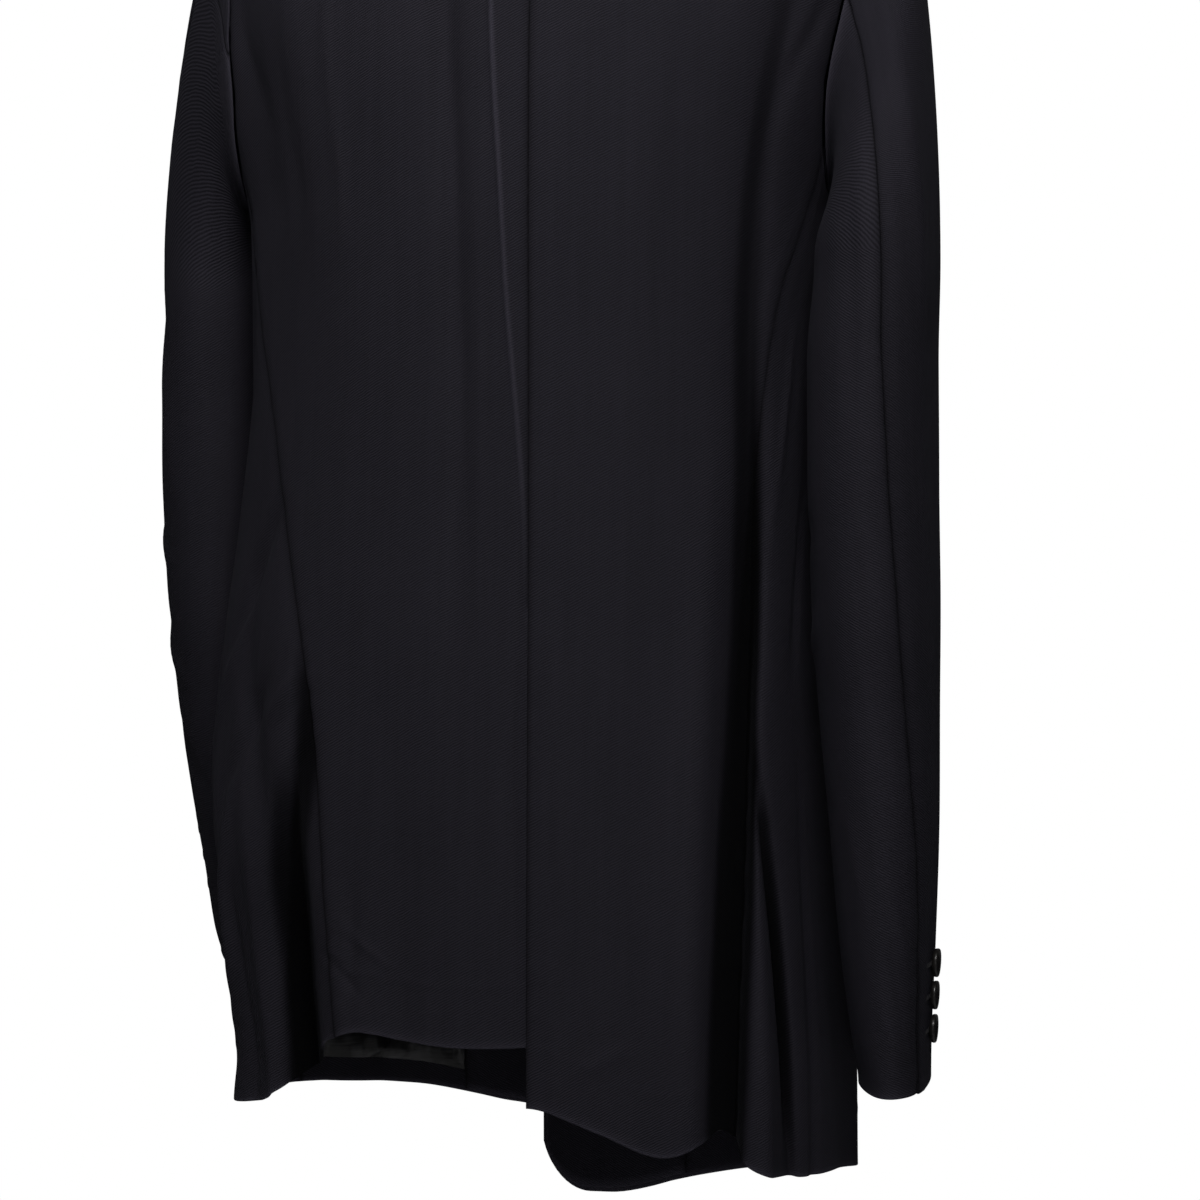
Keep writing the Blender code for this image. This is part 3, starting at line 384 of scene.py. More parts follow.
def apart(bearing, middle):
    """How many degrees lie between two bearings, the short way round."""
    return (bearing - middle + 180) % 360 - 180


class Curve:
    """A smooth curve through a table's rows."""

    def __init__(self, rows, column=1, key=0):
        rows = sorted(rows, key=lambda row: row[key])
        self.keys = np.array([row[key] for row in rows], float)
        self.values = np.array([row[column] for row in rows], float)
        rise = np.diff(self.values) / np.diff(self.keys)
        before, after = rise[:-1], rise[1:]
        agree = before * after > 0
        total = np.where(agree, before + after, 1.0)
        self.slopes = np.zeros(len(rows))
        self.slopes[1:-1] = np.where(agree, 2 * before * after / total, 0.0)

    def __call__(self, at):
        at = np.clip(at, self.keys[0], self.keys[-1])
        i = np.clip(np.searchsorted(self.keys, at, "right") - 1, 0, len(self.keys) - 2)
        span = self.keys[i + 1] - self.keys[i]
        t = (at - self.keys[i]) / span
        first = self.values[i] * (1 + 2 * t) * (1 - t) ** 2 + self.slopes[i] * span * t * (1 - t) ** 2
        second = self.values[i + 1] * (3 - 2 * t) * t * t - self.slopes[i + 1] * span * t * t * (1 - t)
        return first + second


SECTION = {name: Curve(SECTIONS, at) for at, name in enumerate(SECTION_COLUMNS) if at}
HEM = {1: Curve(HEM_LEFT), -1: Curve(HEM_RIGHT)}
SEAM_BACK = {1: Curve(SEAM_BACK_LEFT), -1: Curve(SEAM_BACK_RIGHT)}
SEAM_SIDE = Curve(SEAM_FRONT)


def smooth(value):
    """0 up to 0, 1 from 1 on, and a soft step between."""
    value = np.clip(value, 0.0, 1.0)
    return value * value * (3 - 2 * value)


def unit(vectors):
    return vectors / np.maximum(np.linalg.norm(vectors, axis=-1, keepdims=True), 1e-12)


def ripple(u, v, seed):
    """Gentle unevenness of about one, from a few slanting waves."""
    draw = np.random.default_rng(seed)
    total = 0.0
    for _ in range(7):
        length, angle, phase = draw.uniform(0.05, 0.16), draw.uniform(-0.5, 0.5), draw.uniform(0, math.tau)
        total = total + np.sin((u * math.cos(angle) + v * math.sin(angle)) * math.tau / length + phase)
    return total / 3


def marks(u, v, table, degree):
    """The relief of short slanting creases; u is in degrees and v in metres."""
    total = np.zeros(np.broadcast(u, v).shape)
    for first, top, second, low, depth, half_width in table:
        away = apart(u, first)
        run_u, run_v = (second - first) * degree, low - top
        long = run_u * run_u + run_v * run_v
        share = np.clip((away * degree * run_u + (v - top) * run_v) / long, 0, 1)
        distance = (away * degree - share * run_u) ** 2 + (v - top - share * run_v) ** 2
        total = total + depth * np.sin(np.pi * share) * np.exp(-distance / half_width**2)
    return total


# ---------------------------------------------------------------- the body's surface
def fold_depth(bearing, height):
    """How far the large soft folds stand out."""
    total = np.zeros(np.broadcast(bearing, height).shape)
    for top, top_bearing, top_depth, low, low_bearing, low_depth, half_width in FOLDS:
        share = smooth((top - height) / (top - low))
        middle = top_bearing + (low_bearing - top_bearing) * share
        away = apart(bearing, middle)
        depth = top_depth + (low_depth - top_depth) * share
        depth = depth * np.where(height > top, smooth(1 - (height - top) / 0.06), 1.0)
        total = total + depth * np.exp(-((away / half_width) ** 2))
    return total


def fold_push(bearing, height):
    """How far the deep folds push the cloth in, as vectors."""
    push = np.zeros(np.broadcast(bearing, height).shape + (3,))
    for way, rows in FOLD_PATHS:
        middle, depth, half_width = (Curve(rows, column)(height) for column in (1, 2, 3))
        away = np.abs(apart(bearing, middle))
        reach = depth * np.exp(-((away / half_width) ** FOLD_SHARPNESS))
        push = push + reach[..., None] * np.array((*way, 0.0))
    return push


def crease_depth(bearing, height):
    """How far the fine creases and a slight unevenness stand out."""
    total = marks(bearing, height, BODY_DRAGS, BODY_DEGREE)
    for half_width, rows in BODY_CREASES:
        away = apart(bearing, Curve(rows)(height))
        total = total + Curve(rows, 2)(height) * np.exp(-((away / half_width) ** 2))
    quiet = smooth((NECK_QUIET - height) / NECK_FADE)
    return total + UNEVEN * quiet * ripple(bearing * BODY_DEGREE, height * 0.4, 5)


def mark_strength(bearing, height, table):
    """How strong a table's marks are, from 0 to 1."""
    total = 0.0
    for half_width, rows in table:
        away = apart(bearing, Curve(rows)(height))
        total = np.maximum(total, Curve(rows, 2)(height) * np.exp(-((away / half_width) ** 4)))
    return total


def body_plain(bearing, height):
    """The body form without folds."""
    turn = np.radians(bearing)
    wide = np.where(np.sin(turn) > 0, SECTION["left"](height), SECTION["right"](height))
    deep = np.where(np.cos(turn) > 0, SECTION["back"](height), SECTION["front"](height))
    return np.stack([wide * np.sin(turn), deep * np.cos(turn), height + 0 * turn], -1)


def body_folded(bearing, height):
    """The cloth's face, with its folds and creases."""
    point = body_plain(bearing, height)
    ahead = body_plain(bearing + STEP_ROUND, height) - body_plain(bearing - STEP_ROUND, height)
    outward = unit(np.stack([ahead[..., 1], -ahead[..., 0], 0 * ahead[..., 0]], -1))
    outward = outward * np.sign((outward * point)[..., :2].sum(-1, keepdims=True))
    depth = fold_depth(bearing, height) + settings().crease_strength * crease_depth(bearing, height)
    return point + outward * depth[..., None] + fold_push(bearing, height)


def body_normal(bearing, height):
    around = body_folded(bearing + STEP_ROUND, height) - body_folded(bearing - STEP_ROUND, height)
    upward = body_folded(bearing, height + STEP_UP) - body_folded(bearing, height - STEP_UP)
    return unit(np.cross(upward, around))


def body_point(bearing, height, lift=0.0):
    bearing, height = np.broadcast_arrays(np.asarray(bearing, float), np.asarray(height, float))
    lift = np.asarray(lift + 0 * bearing)[..., None]
    return body_folded(bearing, height) + body_normal(bearing, height) * lift


def bearing_at(x, height, sign):
    """The bearing on the front where the cloth is at x."""
    width = np.where(x > 0, SECTION["left"](height), SECTION["right"](height))
    return sign * 180 - np.degrees(np.arcsin(np.clip(x / width, -1, 1)))


def arm_edge(height, side):
    share = (height - ARM_HEIGHT) / ARM_RISE
    return ARM_BEARING + side * ARM_SPREAD * np.sqrt(np.maximum(0.0, 1 - share * share))


def side_edge(height, seam, side):
    """The bearing of a panel's side edge: its seam, then the armhole, then the shoulder seam."""
    return np.where(height <= seam.keys[-1], seam(height), arm_edge(height, side))


def front_edge(height, sign):
    share = np.maximum(0.0, (height - BREAK_HEIGHT) / -BREAK_HEIGHT)
    x = sign * (FRONT_LAP[sign] + (NECK_HALF - FRONT_LAP[sign]) * share)
    return bearing_at(x, height, sign)


def front_hem(bearing, sign, raised=0.0):
    height = HEM[sign](bearing)
    away = np.abs(body_plain(bearing, height)[..., 0] - body_plain(front_edge(height, sign), height)[..., 0])
    inside = np.maximum(0.0, 1 - away / CORNER_WIDTH)
    return height + raised + CORNER_HEIGHT * (1 - np.sqrt(np.maximum(0.0, 1 - inside * inside)))


def lap_lift(bearing, height):
    """The right front lies inside the left one where they lap."""
    x = body_plain(bearing, height)[..., 0]
    return -FRONT_INSET * smooth((x + LAP_FROM) / LAP_OVER) * smooth((LAP_TOP - height) / LAP_FADE)


def underlap_edge(height):
    reach = np.degrees(VENT_UNDERLAP / SECTION["right"](height))
    return -reach * smooth((VENT_TOP - height) / VENT_FADE)


def underlap_lift(bearing, height):
    low = smooth((VENT_TOP + INSET_ABOVE - height) / INSET_FADE)
    return -VENT_INSET * smooth((INSET_BEARING - bearing) / INSET_OVER) * low


# ---------------------------------------------------------------- shells
def settings():
    return bpy.context.scene.jacket_cloth


def span(start, end, step):
    """Evenly spaced values from start to end, about a step apart."""
    return np.linspace(start, end, max(2, int(round(abs(end - start) / step)) + 1))


def lengths(points, axis):
    """How far each point lies along the grid's lines."""
    steps = np.linalg.norm(np.diff(points, axis=axis), axis=-1)
    pad = [(0, 0), (0, 0)]
    pad[axis] = (1, 0)
    return np.pad(np.cumsum(steps, axis=axis), pad)


def rim_of(rows, columns):
    """The grid's border, in order round it."""
    rim = [(0, j) for j in range(columns - 1)] + [(i, columns - 1) for i in range(rows - 1)]
    rim += [(rows - 1, j) for j in range(columns - 1, 0, -1)] + [(i, 0) for i in range(rows - 1, 0, -1)]
    return np.array(rim)


EDGE_FADE = 0.0016  # how far the mark of an edge reaches


def shell(name, outer, inner, u, v, material, sewn=(0, 0), hollow=None, bloom=0.0):
    """A closed thin wall between two grids of points, with a rounded rim.

    u and v place the weave in metres, and sewn tells which side edges are seams. The attributes
    "edge" and "seam" are 1 at the free and the sewn edges and fade inwards; the cloth's colour gets a
    painted highlight, partly edge wear, from "edge" and painted shade from "seam". bloom adds painted
    highlights on the crease tops to "edge", and hollow, 1 in deep folds, is the folds' painted shade,
    an attribute of its own on the outer face.
    """
    rows, columns = outer.shape[:2]
    rim = rim_of(rows, columns)
    i, j = rim.T
    middle = (outer + inner) / 2
    step_i = np.where(i == 0, 1, np.where(i == rows - 1, -1, 0))
    step_j = np.where(j == 0, 1, np.where(j == columns - 1, -1, 0))
    half = (outer - inner)[i, j] / 2
    radius = 0.9 * np.linalg.norm(half, axis=-1, keepdims=True)
    inward = np.zeros((len(rim), 3))
    for di, dj in ((step_i, 0 * step_j), (0 * step_i, step_j)):
        offset = middle[i + di, j + dj] - middle[i, j]
        reach = np.linalg.norm(offset, axis=-1, keepdims=True)
        inward += offset / np.maximum(reach, 1e-9) * np.minimum(radius, 0.4 * reach)
    outer, inner = outer.copy(), inner.copy()
    outer[i, j] += inward
    inner[i, j] += inward
    rings = []
    for turn in (45, 90, 135):
        turn = math.radians(turn)
        rings.append(middle[i, j] + inward * (1 - math.sin(turn)) + half * math.cos(turn))
    count = rows * columns
    points = np.concatenate([outer.reshape(-1, 3), inner.reshape(-1, 3), *rings])
    cells = np.arange(count).reshape(rows, columns)
    faces = np.stack([cells[:-1, :-1], cells[:-1, 1:], cells[1:, 1:], cells[1:, :-1]], -1).reshape(-1, 4)
    around = i * columns + j
    loops = [around, *(2 * count + k * len(rim) + np.arange(len(rim)) for k in range(3)), around + count]
    sides = []
    for near, far in zip(loops, loops[1:]):
        sides.append(np.stack([np.roll(near, -1), near, far, np.roll(far, -1)], -1))
    quads = np.concatenate([faces, faces[:, ::-1] + count, *sides])
    flat = np.stack([u, v], -1).reshape(-1, 2)
    weave = np.concatenate([flat, flat, *(flat[around] for _ in rings)])
    # edge: a painted highlight along the free edges, partly edge wear, and on the crease tops; seam: painted
    # shade along the sewn edges
    close = {"edge": [bloom + 0 * u], "seam": [0 * u]}
    close["edge"] += [np.exp(-np.abs(v - v[row]) / EDGE_FADE) for row in ([0], [-1])]
    for side, column in zip(sewn, ([0], [-1])):
        close["seam" if side else "edge"].append(np.exp(-np.abs(u - u[:, column]) / EDGE_FADE))
    fields = {name: np.max(found, axis=0).reshape(-1) for name, found in close.items()}
    fields["hollow"] = (0 * u if hollow is None else hollow).reshape(-1)
    shown = {"edge": 1.0, "seam": 1.0, "hollow": 0.0}
    marked = {
        key: np.concatenate([field, field * shown[key], *(field[around] for _ in rings)])
        for key, field in fields.items()
    }
    first, second, third = points[quads[:, 0]], points[quads[:, 1]], points[quads[:, 2]]
    fourth = points[quads[:, 3]]
    volume = (np.cross(first, second) * third).sum() + (np.cross(first, third) * fourth).sum()
    if volume < 0:
        quads = quads[:, ::-1]
    return mesh_piece(name, points, quads, weave, marked, material)


def placed(name, data):
    """An object at the origin that shows its data."""
    piece = bpy.data.objects.new(name, data)
    bpy.context.collection.objects.link(piece)
    return piece


def mesh_piece(name, points, quads, weave, marked, material):
    """A smooth mesh of quads, with the weave as its UV map and the marks as attributes."""
    mesh = bpy.data.meshes.new(name)
    mesh.vertices.add(len(points))
    mesh.vertices.foreach_set("co", points.ravel())
    mesh.loops.add(quads.size)
    mesh.loops.foreach_set("vertex_index", quads.ravel())
    mesh.polygons.add(len(quads))
    mesh.polygons.foreach_set("loop_start", np.arange(0, quads.size, 4))
    mesh.polygons.foreach_set("loop_total", np.full(len(quads), 4))
    mesh.materials.append(material)
    mesh.update(calc_edges=True)
    mesh.uv_layers.new(name="UVMap").data.foreach_set("uv", weave[quads.ravel()].ravel())
    for key, field in marked.items():
        mesh.attributes.new(key, "FLOAT", "POINT").data.foreach_set("value", field)
    mesh.shade_smooth()
    if mesh.validate():
        raise RuntimeError(f"{name}: its mesh isn't sound")
    return placed(name, mesh)


def cloth_piece(piece, node):
    """Puts a finished cloth shell in the place of its solid."""
    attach(piece, "root")
    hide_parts(node)


# ---------------------------------------------------------------- panels of the body
HOLLOW_FROM, HOLLOW_OVER = 0.003, 0.009  # how deep a fold is where its light starts to go, and over what
PROFILE_HEIGHTS = np.linspace(0.0, -0.86, 431)
SHOULDER_BEARING = 70
CENTRE_BEARING = 8  # stands for the centre back, beside the seam
SIDE_RADIUS = 0.15


def profile(bearing):
    """How far along the cloth each of the profile's heights lies from the nape's."""
    points = body_plain(np.full(PROFILE_HEIGHTS.shape, float(bearing)), PROFILE_HEIGHTS)
    steps = np.linalg.norm(np.diff(points, axis=0), axis=-1)
    return np.concatenate([[0.0], np.cumsum(steps)])


def panel_heights(joint):
    """The rows' heights from the skirt's top up to the neck, by way of the armhole."""
    step = settings().spacing
    start = math.asin((joint - ARM_HEIGHT) / ARM_RISE)
    arm = ARM_HEIGHT + ARM_RISE * np.sin(np.linspace(start, math.pi / 2, ARM_ROWS))
    along = profile(SHOULDER_BEARING)
    top, low = (np.interp(-h, -PROFILE_HEIGHTS, along) for h in (NECK_HEIGHT, arm[-1]))
    shoulder = np.interp(span(low, top, step), along, PROFILE_HEIGHTS)
    return np.concatenate([span(SKIRT_TOP, joint, step)[:-1], arm, shoulder[1:]])


def panel_grid(near, far, hem, heights, shares, skirt=34, knee=None):
    """A panel's grid of bearings and heights, from the hem up, between two edges.

    knee is a share and the bearing where its column runs, whatever the near edge does.
    """
    start, end = near(SKIRT_TOP), far(SKIRT_TOP)
    bottom = hem(start + (end - start) * shares)
    rise = np.linspace(0, 1, skirt, endpoint=False)[:, None]
    height = np.concatenate([bottom + (SKIRT_TOP - bottom) * rise, heights[:, None] + 0 * shares])
    a, b = near(height), far(height)
    radius = np.linalg.norm(body_plain(a, height)[..., :2], axis=-1)
    gap = np.sign(b - a) * np.degrees(0.5 * SEAM_GAP / radius)
    bearing = a + gap + (b - a - 2 * gap) * shares
    if knee:
        share, middle = knee
        first = a + gap + (middle - a - gap) * shares / share
        bearing = np.where(shares < share, first, middle + (b - gap - middle) * (shares - share) / (1 - share))
    return bearing, height


# Depth and half width of a pressed seam's dip; height, place and half width of the ridge beside it
# and of the hem's fold; then the puckers' heights beside seams and hem, and how far they reach.
SEAM_DIP = (0.00035, 0.0022)
SEAM_RIDGE = (0.00022, 0.0095, 0.003)
HEM_RIDGE = (0.00025, 0.031, 0.0018)
SEAM_PUCKER, HEM_PUCKER = (0.00022, 0.008), (0.0003, 0.02)


def ridge(away, height, place, half_width):
    return height * np.exp(-(((away - place) / half_width) ** 2))


def sewn_relief(u, v, hem_away, seams, seed):
    """Pressed seams and the hem's fold: shallow ridges and small puckers beside the stitching."""
    total = np.zeros(u.shape)
    for edge, sewn in zip((u[:, :1], u[:, -1:]), seams):
        if not sewn:
            continue
        away = np.abs(u - edge)
        total += ridge(away, *SEAM_RIDGE) - ridge(away, SEAM_DIP[0], 0.0, SEAM_DIP[1])
        total += SEAM_PUCKER[0] * ripple(4 * v, 3 * away, seed) * np.exp(-away / SEAM_PUCKER[1])
    if hem_away is not None:
        total += ridge(hem_away, *HEM_RIDGE)
        total += HEM_PUCKER[0] * ripple(2 * u, 2 * hem_away, seed + 1) * np.exp(-hem_away / HEM_PUCKER[1])
    return total


def panel(
    name, bearing, height, material, lift=0.0, thickness=None, seams=(1, 1), hem=True, seed=1, middle=0.0,
    dark=PAINTED_SHADE_CREASES,
):
    """A shell over a grid of bearings and heights. The weave runs straight at the middle bearing."""
    thickness = thickness or settings().thickness
    face = body_folded(bearing, height)
    normal = body_normal(bearing, height)
    u = lengths(face, 1)
    backward = bearing[0, 0] > bearing[0, -1]
    order = slice(None, None, -1 if backward else 1)
    for row in range(len(u)):
        u[row] -= np.interp(middle, bearing[row][order], u[row][order])
    if backward:
        u = -u
    v = np.interp(-height, -PROFILE_HEIGHTS, -profile(middle if middle else CENTRE_BEARING))
    hem_away = v - v[:1] if hem else None
    lift = lift + sewn_relief(u, v, hem_away, seams, seed)
    outer = face + normal * lift[..., None]
    inner = face + normal * (lift - thickness)[..., None]
    sunk = np.linalg.norm(fold_push(bearing, height), axis=-1)
    # hollow paints shade into the colour in and beside the deep folds; bloom paints a highlight on the crease
    # tops
    return shell(
        name, outer, inner, u, v, material, sewn=seams,
        hollow=np.maximum(smooth((sunk - HOLLOW_FROM) / HOLLOW_OVER), mark_strength(bearing, height, dark)),
        bloom=mark_strength(bearing, height, PAINTED_CREASE_HIGHLIGHTS),
    )


SIDE_GRAIN, FRONT_GRAIN, LINING_GRAIN = 85, 150, 130  # the bearings where the weave runs straight down


def shares_from(*parts):
    """Shares of a width from rows of start, end and number of columns."""
    return np.concatenate([np.linspace(a, b, n, endpoint=False) for a, b, n in parts] + [[1.0]])


def make_backs(cloth):
    heights = panel_heights(BACK_JOINT)
    left = panel_grid(
        underlap_edge,
        lambda h: side_edge(h, SEAM_BACK[1], -1),
        HEM[1],
        heights,
        shares_from((0, 0.03, 10), (0.03, 0.14, 40), (0.14, 0.985, 68), (0.985, 1, 4)),
        knee=(0.03, 1.6),
    )
    piece = panel("tailored_back_left", *left, cloth, underlap_lift(*left), seed=11, dark=())
    cloth_piece(piece, "back_left")
    right = panel_grid(
        lambda h: 0.0 * h,
        lambda h: -side_edge(h, SEAM_BACK[-1], -1),
        HEM[-1],
        heights,
        shares_from((0, 0.03, 8), (0.03, 0.985, 92), (0.985, 1, 4)),
        skirt=46,
    )
    piece = panel("tailored_back_right", *right, cloth, seed=12)
    cloth_piece(piece, "back_right")


def make_sides(cloth):
    for side, sign in SIDES:
        seam = SEAM_BACK[sign]
        shares = shares_from((0, 0.02, 4), (0.02, 0.36, 34), (0.36, 0.98, 34), (0.98, 1, 4))
        bearing, height = panel_grid(
            lambda h: sign * seam(h), lambda h: sign * SEAM_SIDE(h), HEM[sign],
            span(SKIRT_TOP, SIDE_TOP, settings().spacing), shares, skirt=38,
        )
        start, end = seam.values[-1], SEAM_SIDE.values[-1]
        away = (start + (end - start) * shares - ARM_BEARING) / ARM_SPREAD
        top = ARM_HEIGHT - ARM_RISE * np.sqrt(np.maximum(0.0, 1 - away * away))
        upper = SIDE_TOP + (top - SIDE_TOP) * np.linspace(0, 1, UNDERARM_ROWS)[1:, None]
        near, far = seam(upper), SEAM_SIDE(upper)
        gap = np.degrees(0.5 * SEAM_GAP / SIDE_RADIUS)
        bearing = np.concatenate([bearing, sign * (near + gap + (far - near - 2 * gap) * shares)])
        height = np.concatenate([height, upper])
        piece = panel("tailored_side_" + side, bearing, height, cloth, seed=20 + sign, middle=sign * SIDE_GRAIN)
        cloth_piece(piece, "side_" + side)


def make_fronts(cloth):
    for side, sign in SIDES:
        bearing, height = panel_grid(
            lambda h: sign * side_edge(h, SEAM_SIDE, 1),
            lambda h: front_edge(h, sign),
            lambda b: front_hem(b, sign),
            panel_heights(FRONT_JOINT),
            shares_from((0, 0.02, 4), (0.02, 0.80, 36), (0.80, 0.98, 14), (0.98, 1, 4)),
            skirt=34,
        )
        lift = lap_lift(bearing, height) if sign < 0 else 0 * bearing
        piece = panel(
            "tailored_front_" + side, bearing, height, cloth, lift,
            seams=(1, 0), seed=30 + sign, middle=sign * FRONT_GRAIN,
        )
        cloth_piece(piece, "front_" + side)


def make_inside(cloth, satin):
    """The facings along the front edges, and the satin lining that hangs loose beside them."""
    heights = span(SKIRT_TOP, INSIDE_TOP, INSIDE_SPACING)
    for side, sign in SIDES:
        def inner_edge(height):
            x = body_plain(front_edge(height, sign), height)[..., 0] + sign * FACING_WIDTH
            return bearing_at(x, height, sign)

        def behind(bearing, height):
            laps = lap_lift(bearing, height) if sign < 0 else 0 * bearing
            return laps - CLOTH_DEPTH - LINING_GAP

        bearing, height = panel_grid(
            inner_edge,
            lambda h: front_edge(h, sign) - sign * FACING_BACK,
            lambda b: front_hem(b, sign, FACING_UP),
            heights, shares_from((0, 0.06, 4), (0.06, 0.7, 10), (0.7, 0.97, 12), (0.97, 1, 4)), skirt=28,
        )
        piece = panel(
            "inside_facing_" + side, bearing, height, cloth, behind(bearing, height), INSIDE_THICKNESS,
            seams=(1, 0), hem=False, seed=40 + sign, middle=sign * FRONT_GRAIN,
        )
        cloth_piece(piece, "facing_" + side)
        bearing, height = panel_grid(
            lambda h: sign * (side_edge(h, SEAM_SIDE, 1) + LINING_START),
            lambda h: inner_edge(h) - sign * LINING_LAP,
            lambda b: front_hem(b, sign, HEM_ALLOWANCE[sign]), heights,
            shares_from((0, 0.03, 4), (0.03, 0.97, 48), (0.97, 1, 4)), skirt=42,
        )
        rise = height - height[:1]
        share = np.linspace(0, 1, bearing.shape[1])[None, :]
        loose = np.sin(np.pi * share) ** 0.5 * smooth(rise / LINING_HELD)
        puff = ridge(rise, *LINING_PUFF) * (1 + 0.35 * ripple(2.2 * share * 0.15, 0.3 * rise, 50 + sign))
        creases = LINING_CREASE * np.exp(-rise / LINING_SETTLE)
        creases = creases * ripple(0.3 * share + 0.4 * rise, 0.35 * rise, 60 + sign)
        lift = behind(bearing, height) - loose * (np.maximum(puff, 0) + np.maximum(creases + LINING_EASE, 0))
        piece = panel(
            "satin_lining_" + side, bearing, height, satin, lift, INSIDE_THICKNESS,
            seams=(0, 0), hem=False, seed=70 + sign, middle=sign * LINING_GRAIN,
        )
        cloth_piece(piece, "lining_" + side)


# ---------------------------------------------------------------- lapels, collar and pocket flaps
def small_shell(name, outer, inner, material):
    """A shell whose weave follows its own grid."""
    return shell(name, outer, inner, lengths(outer, 1), lengths(outer, 0), material)


LAPEL_ROLL, LAPEL_START = 0.0055, 0.004  # how far it rolls off, and its start above the break
LAPEL_STITCH = (0.0003, 0.005, 0.0016)  # depth, distance from the edge, half width


def lapel_width(height):
    share = (height - BREAK_HEIGHT) / (LAPEL_TOP - BREAK_HEIGHT)
    return LAPEL_WIDTH * np.sin(np.pi / 2 * np.clip(np.maximum(share, 0) * 1.12, 0, 1)) ** 0.8 + 0.004


def make_lapels(cloth):
    """The turned-back tops of the fronts, rolled softly off them."""
    thickness = settings().thickness
    for side, sign in SIDES:
        u = shares_from((0, 0.06, 5), (0.06, 0.94, 30), (0.94, 1, 4))[None, :]
        t = shares_from((0, 0.98, 100), (0.98, 1, 4))[:, None]
        bottom = BREAK_HEIGHT + LAPEL_START + 0 * u if sign > 0 else LAPPED_LAPEL - LAPPED_LAPEL_DROP * u
        top = LAPEL_TOP - LAPEL_TIP_DROP * u
        height = bottom + (top - bottom) * t
        x = body_plain(front_edge(height, sign), height)[..., 0] + sign * lapel_width(height) * u
        bearing = bearing_at(x, height, sign)
        soft = 0.0007 * ripple(0.3 * t + 0 * u, 0.1 * u + 0 * t, 80 + sign) * u
        lift = SEAT_GAP + LAPEL_ROLL * np.sin(np.pi * u) + np.abs(soft)
        stitched = ridge((1 - u) * FACING_WIDTH, *LAPEL_STITCH)
        outer = body_point(bearing, height, lift + thickness - stitched)
        inner = body_point(bearing, height, lift)
        piece = small_shell("rolled_lapel_" + side, outer, inner, cloth)
        cloth_piece(piece, "lapel_" + side)


def neck_point(along):
    """A point of the neckline; along runs from -1 at the right gorge to 1 at the left."""
    sign = np.where(along >= 0, 1, -1)
    share = np.abs(along)
    turn = np.where(along >= 0, front_edge(NECK_HEIGHT, 1), -front_edge(NECK_HEIGHT, -1))
    drop = np.maximum(0.0, share - COLLAR_TURN) / (1 - COLLAR_TURN)
    height = NECK_HEIGHT + (LAPEL_TOP + 0.003 - NECK_HEIGHT) * drop
    edge = np.where(along >= 0, front_edge(height, 1), front_edge(height, -1))
    bearing = np.where(share <= COLLAR_TURN, sign * turn * share / COLLAR_TURN, edge)
    return body_point(bearing, height)


STAND_UP, STAND_IN = 0.0008, 0.0034  # off the neckline, and its ends under the lapels
STAND_IN_FROM, STAND_IN_OVER = 0.56, 0.1  # shares of the way to the gorge
FALL_OUT, FALL_DOWN = 0.0006, 0.0005  # the fall's fold from the stand's
FALL_LIFT, FALL_ROLL = 0.0022, 0.004


def make_collar(cloth):
    thickness = settings().thickness
    stations = np.concatenate([[-1, -0.998, -0.994], np.linspace(-0.99, 0.99, 199), [0.994, 0.998, 1]])
    share = np.abs(stations)
    sign = np.where(stations >= 0, 1, -1)
    rise, bearing, height = (Curve(COLLAR, column)(share) for column in (1, 2, 3))
    seam = neck_point(stations)
    out = unit(seam * (1, 1, 0))
    seam = seam - out * STAND_IN * smooth((share - STAND_IN_FROM) / STAND_IN_OVER)[:, None]
    up = np.array([0.0, 0.0, 1.0])
    base = (seam + up * STAND_UP)[:, None]
    fold = (seam + up * rise[:, None])[:, None]
    v = shares_from((0, 0.94, 9), (0.94, 1, 2))[None, :, None]
    stand = base + (fold - base) * v
    piece = small_shell("turned_collar_stand", stand, stand - out[:, None] * thickness, cloth)
    cloth_piece(piece, "collar_stand")
    start = fold + out[:, None] * (thickness + FALL_OUT) - up * FALL_DOWN
    edge = body_point(sign * bearing, height, FALL_LIFT)[:, None]
    face = unit(out + up * 1.1)[:, None]
    v = shares_from((0, 0.08, 4), (0.08, 0.94, 24), (0.94, 1, 4))[None, :, None]
    soft = 0.0005 * ripple(stations * 0.3, 0 * stations, 91)[:, None, None] * v
    lower = start + (edge - start) * v + face * (FALL_ROLL * np.sin(np.pi * v) + np.abs(soft))
    turned = face * (1 - 0.55 * (1 - smooth(v / 0.18)))
    piece = small_shell("turned_collar", lower + turned * thickness, lower, cloth)
    cloth_piece(piece, "collar")


FLAP_TOP, FLAP_DEPTH = -0.5, 0.055
FLAP_CORNER, FLAP_SLANT, FLAP_FLARE = 0.008, 0.006, 0.0008
FLAP_BEARING, FLAP_REACH = 156, 34  # its front edge, and how far it runs back


def make_flaps(cloth):
    """Hip pocket flaps, laid on the fronts."""
    for side, sign in SIDES:
        drop = shares_from((0, 0.94, 18), (0.94, 1, 4))[:, None]
        share = shares_from((0, 0.02, 4), (0.02, 0.98, 40), (0.98, 1, 4))[None, :]
        corner = FLAP_CORNER * np.abs(2 * share - 1) ** 8 * drop
        height = FLAP_TOP - FLAP_DEPTH * drop + corner - FLAP_SLANT * share
        bearing = sign * (FLAP_BEARING - FLAP_REACH * share) + 0 * drop
        thickness = settings().thickness
        soft = 0.0004 * np.abs(ripple(0.1 * share + 0 * drop, 0.06 * drop, 95 + sign))
        bulge = SEAT_GAP + thickness + FLAP_FLARE * drop**2 + soft
        outer = body_point(bearing, height, bulge)
        inner = body_point(bearing, height, bulge - thickness)
        piece = small_shell("laid_pocket_flap_" + side, outer, inner, cloth)
        cloth_piece(piece, "pocket_flap_" + side)


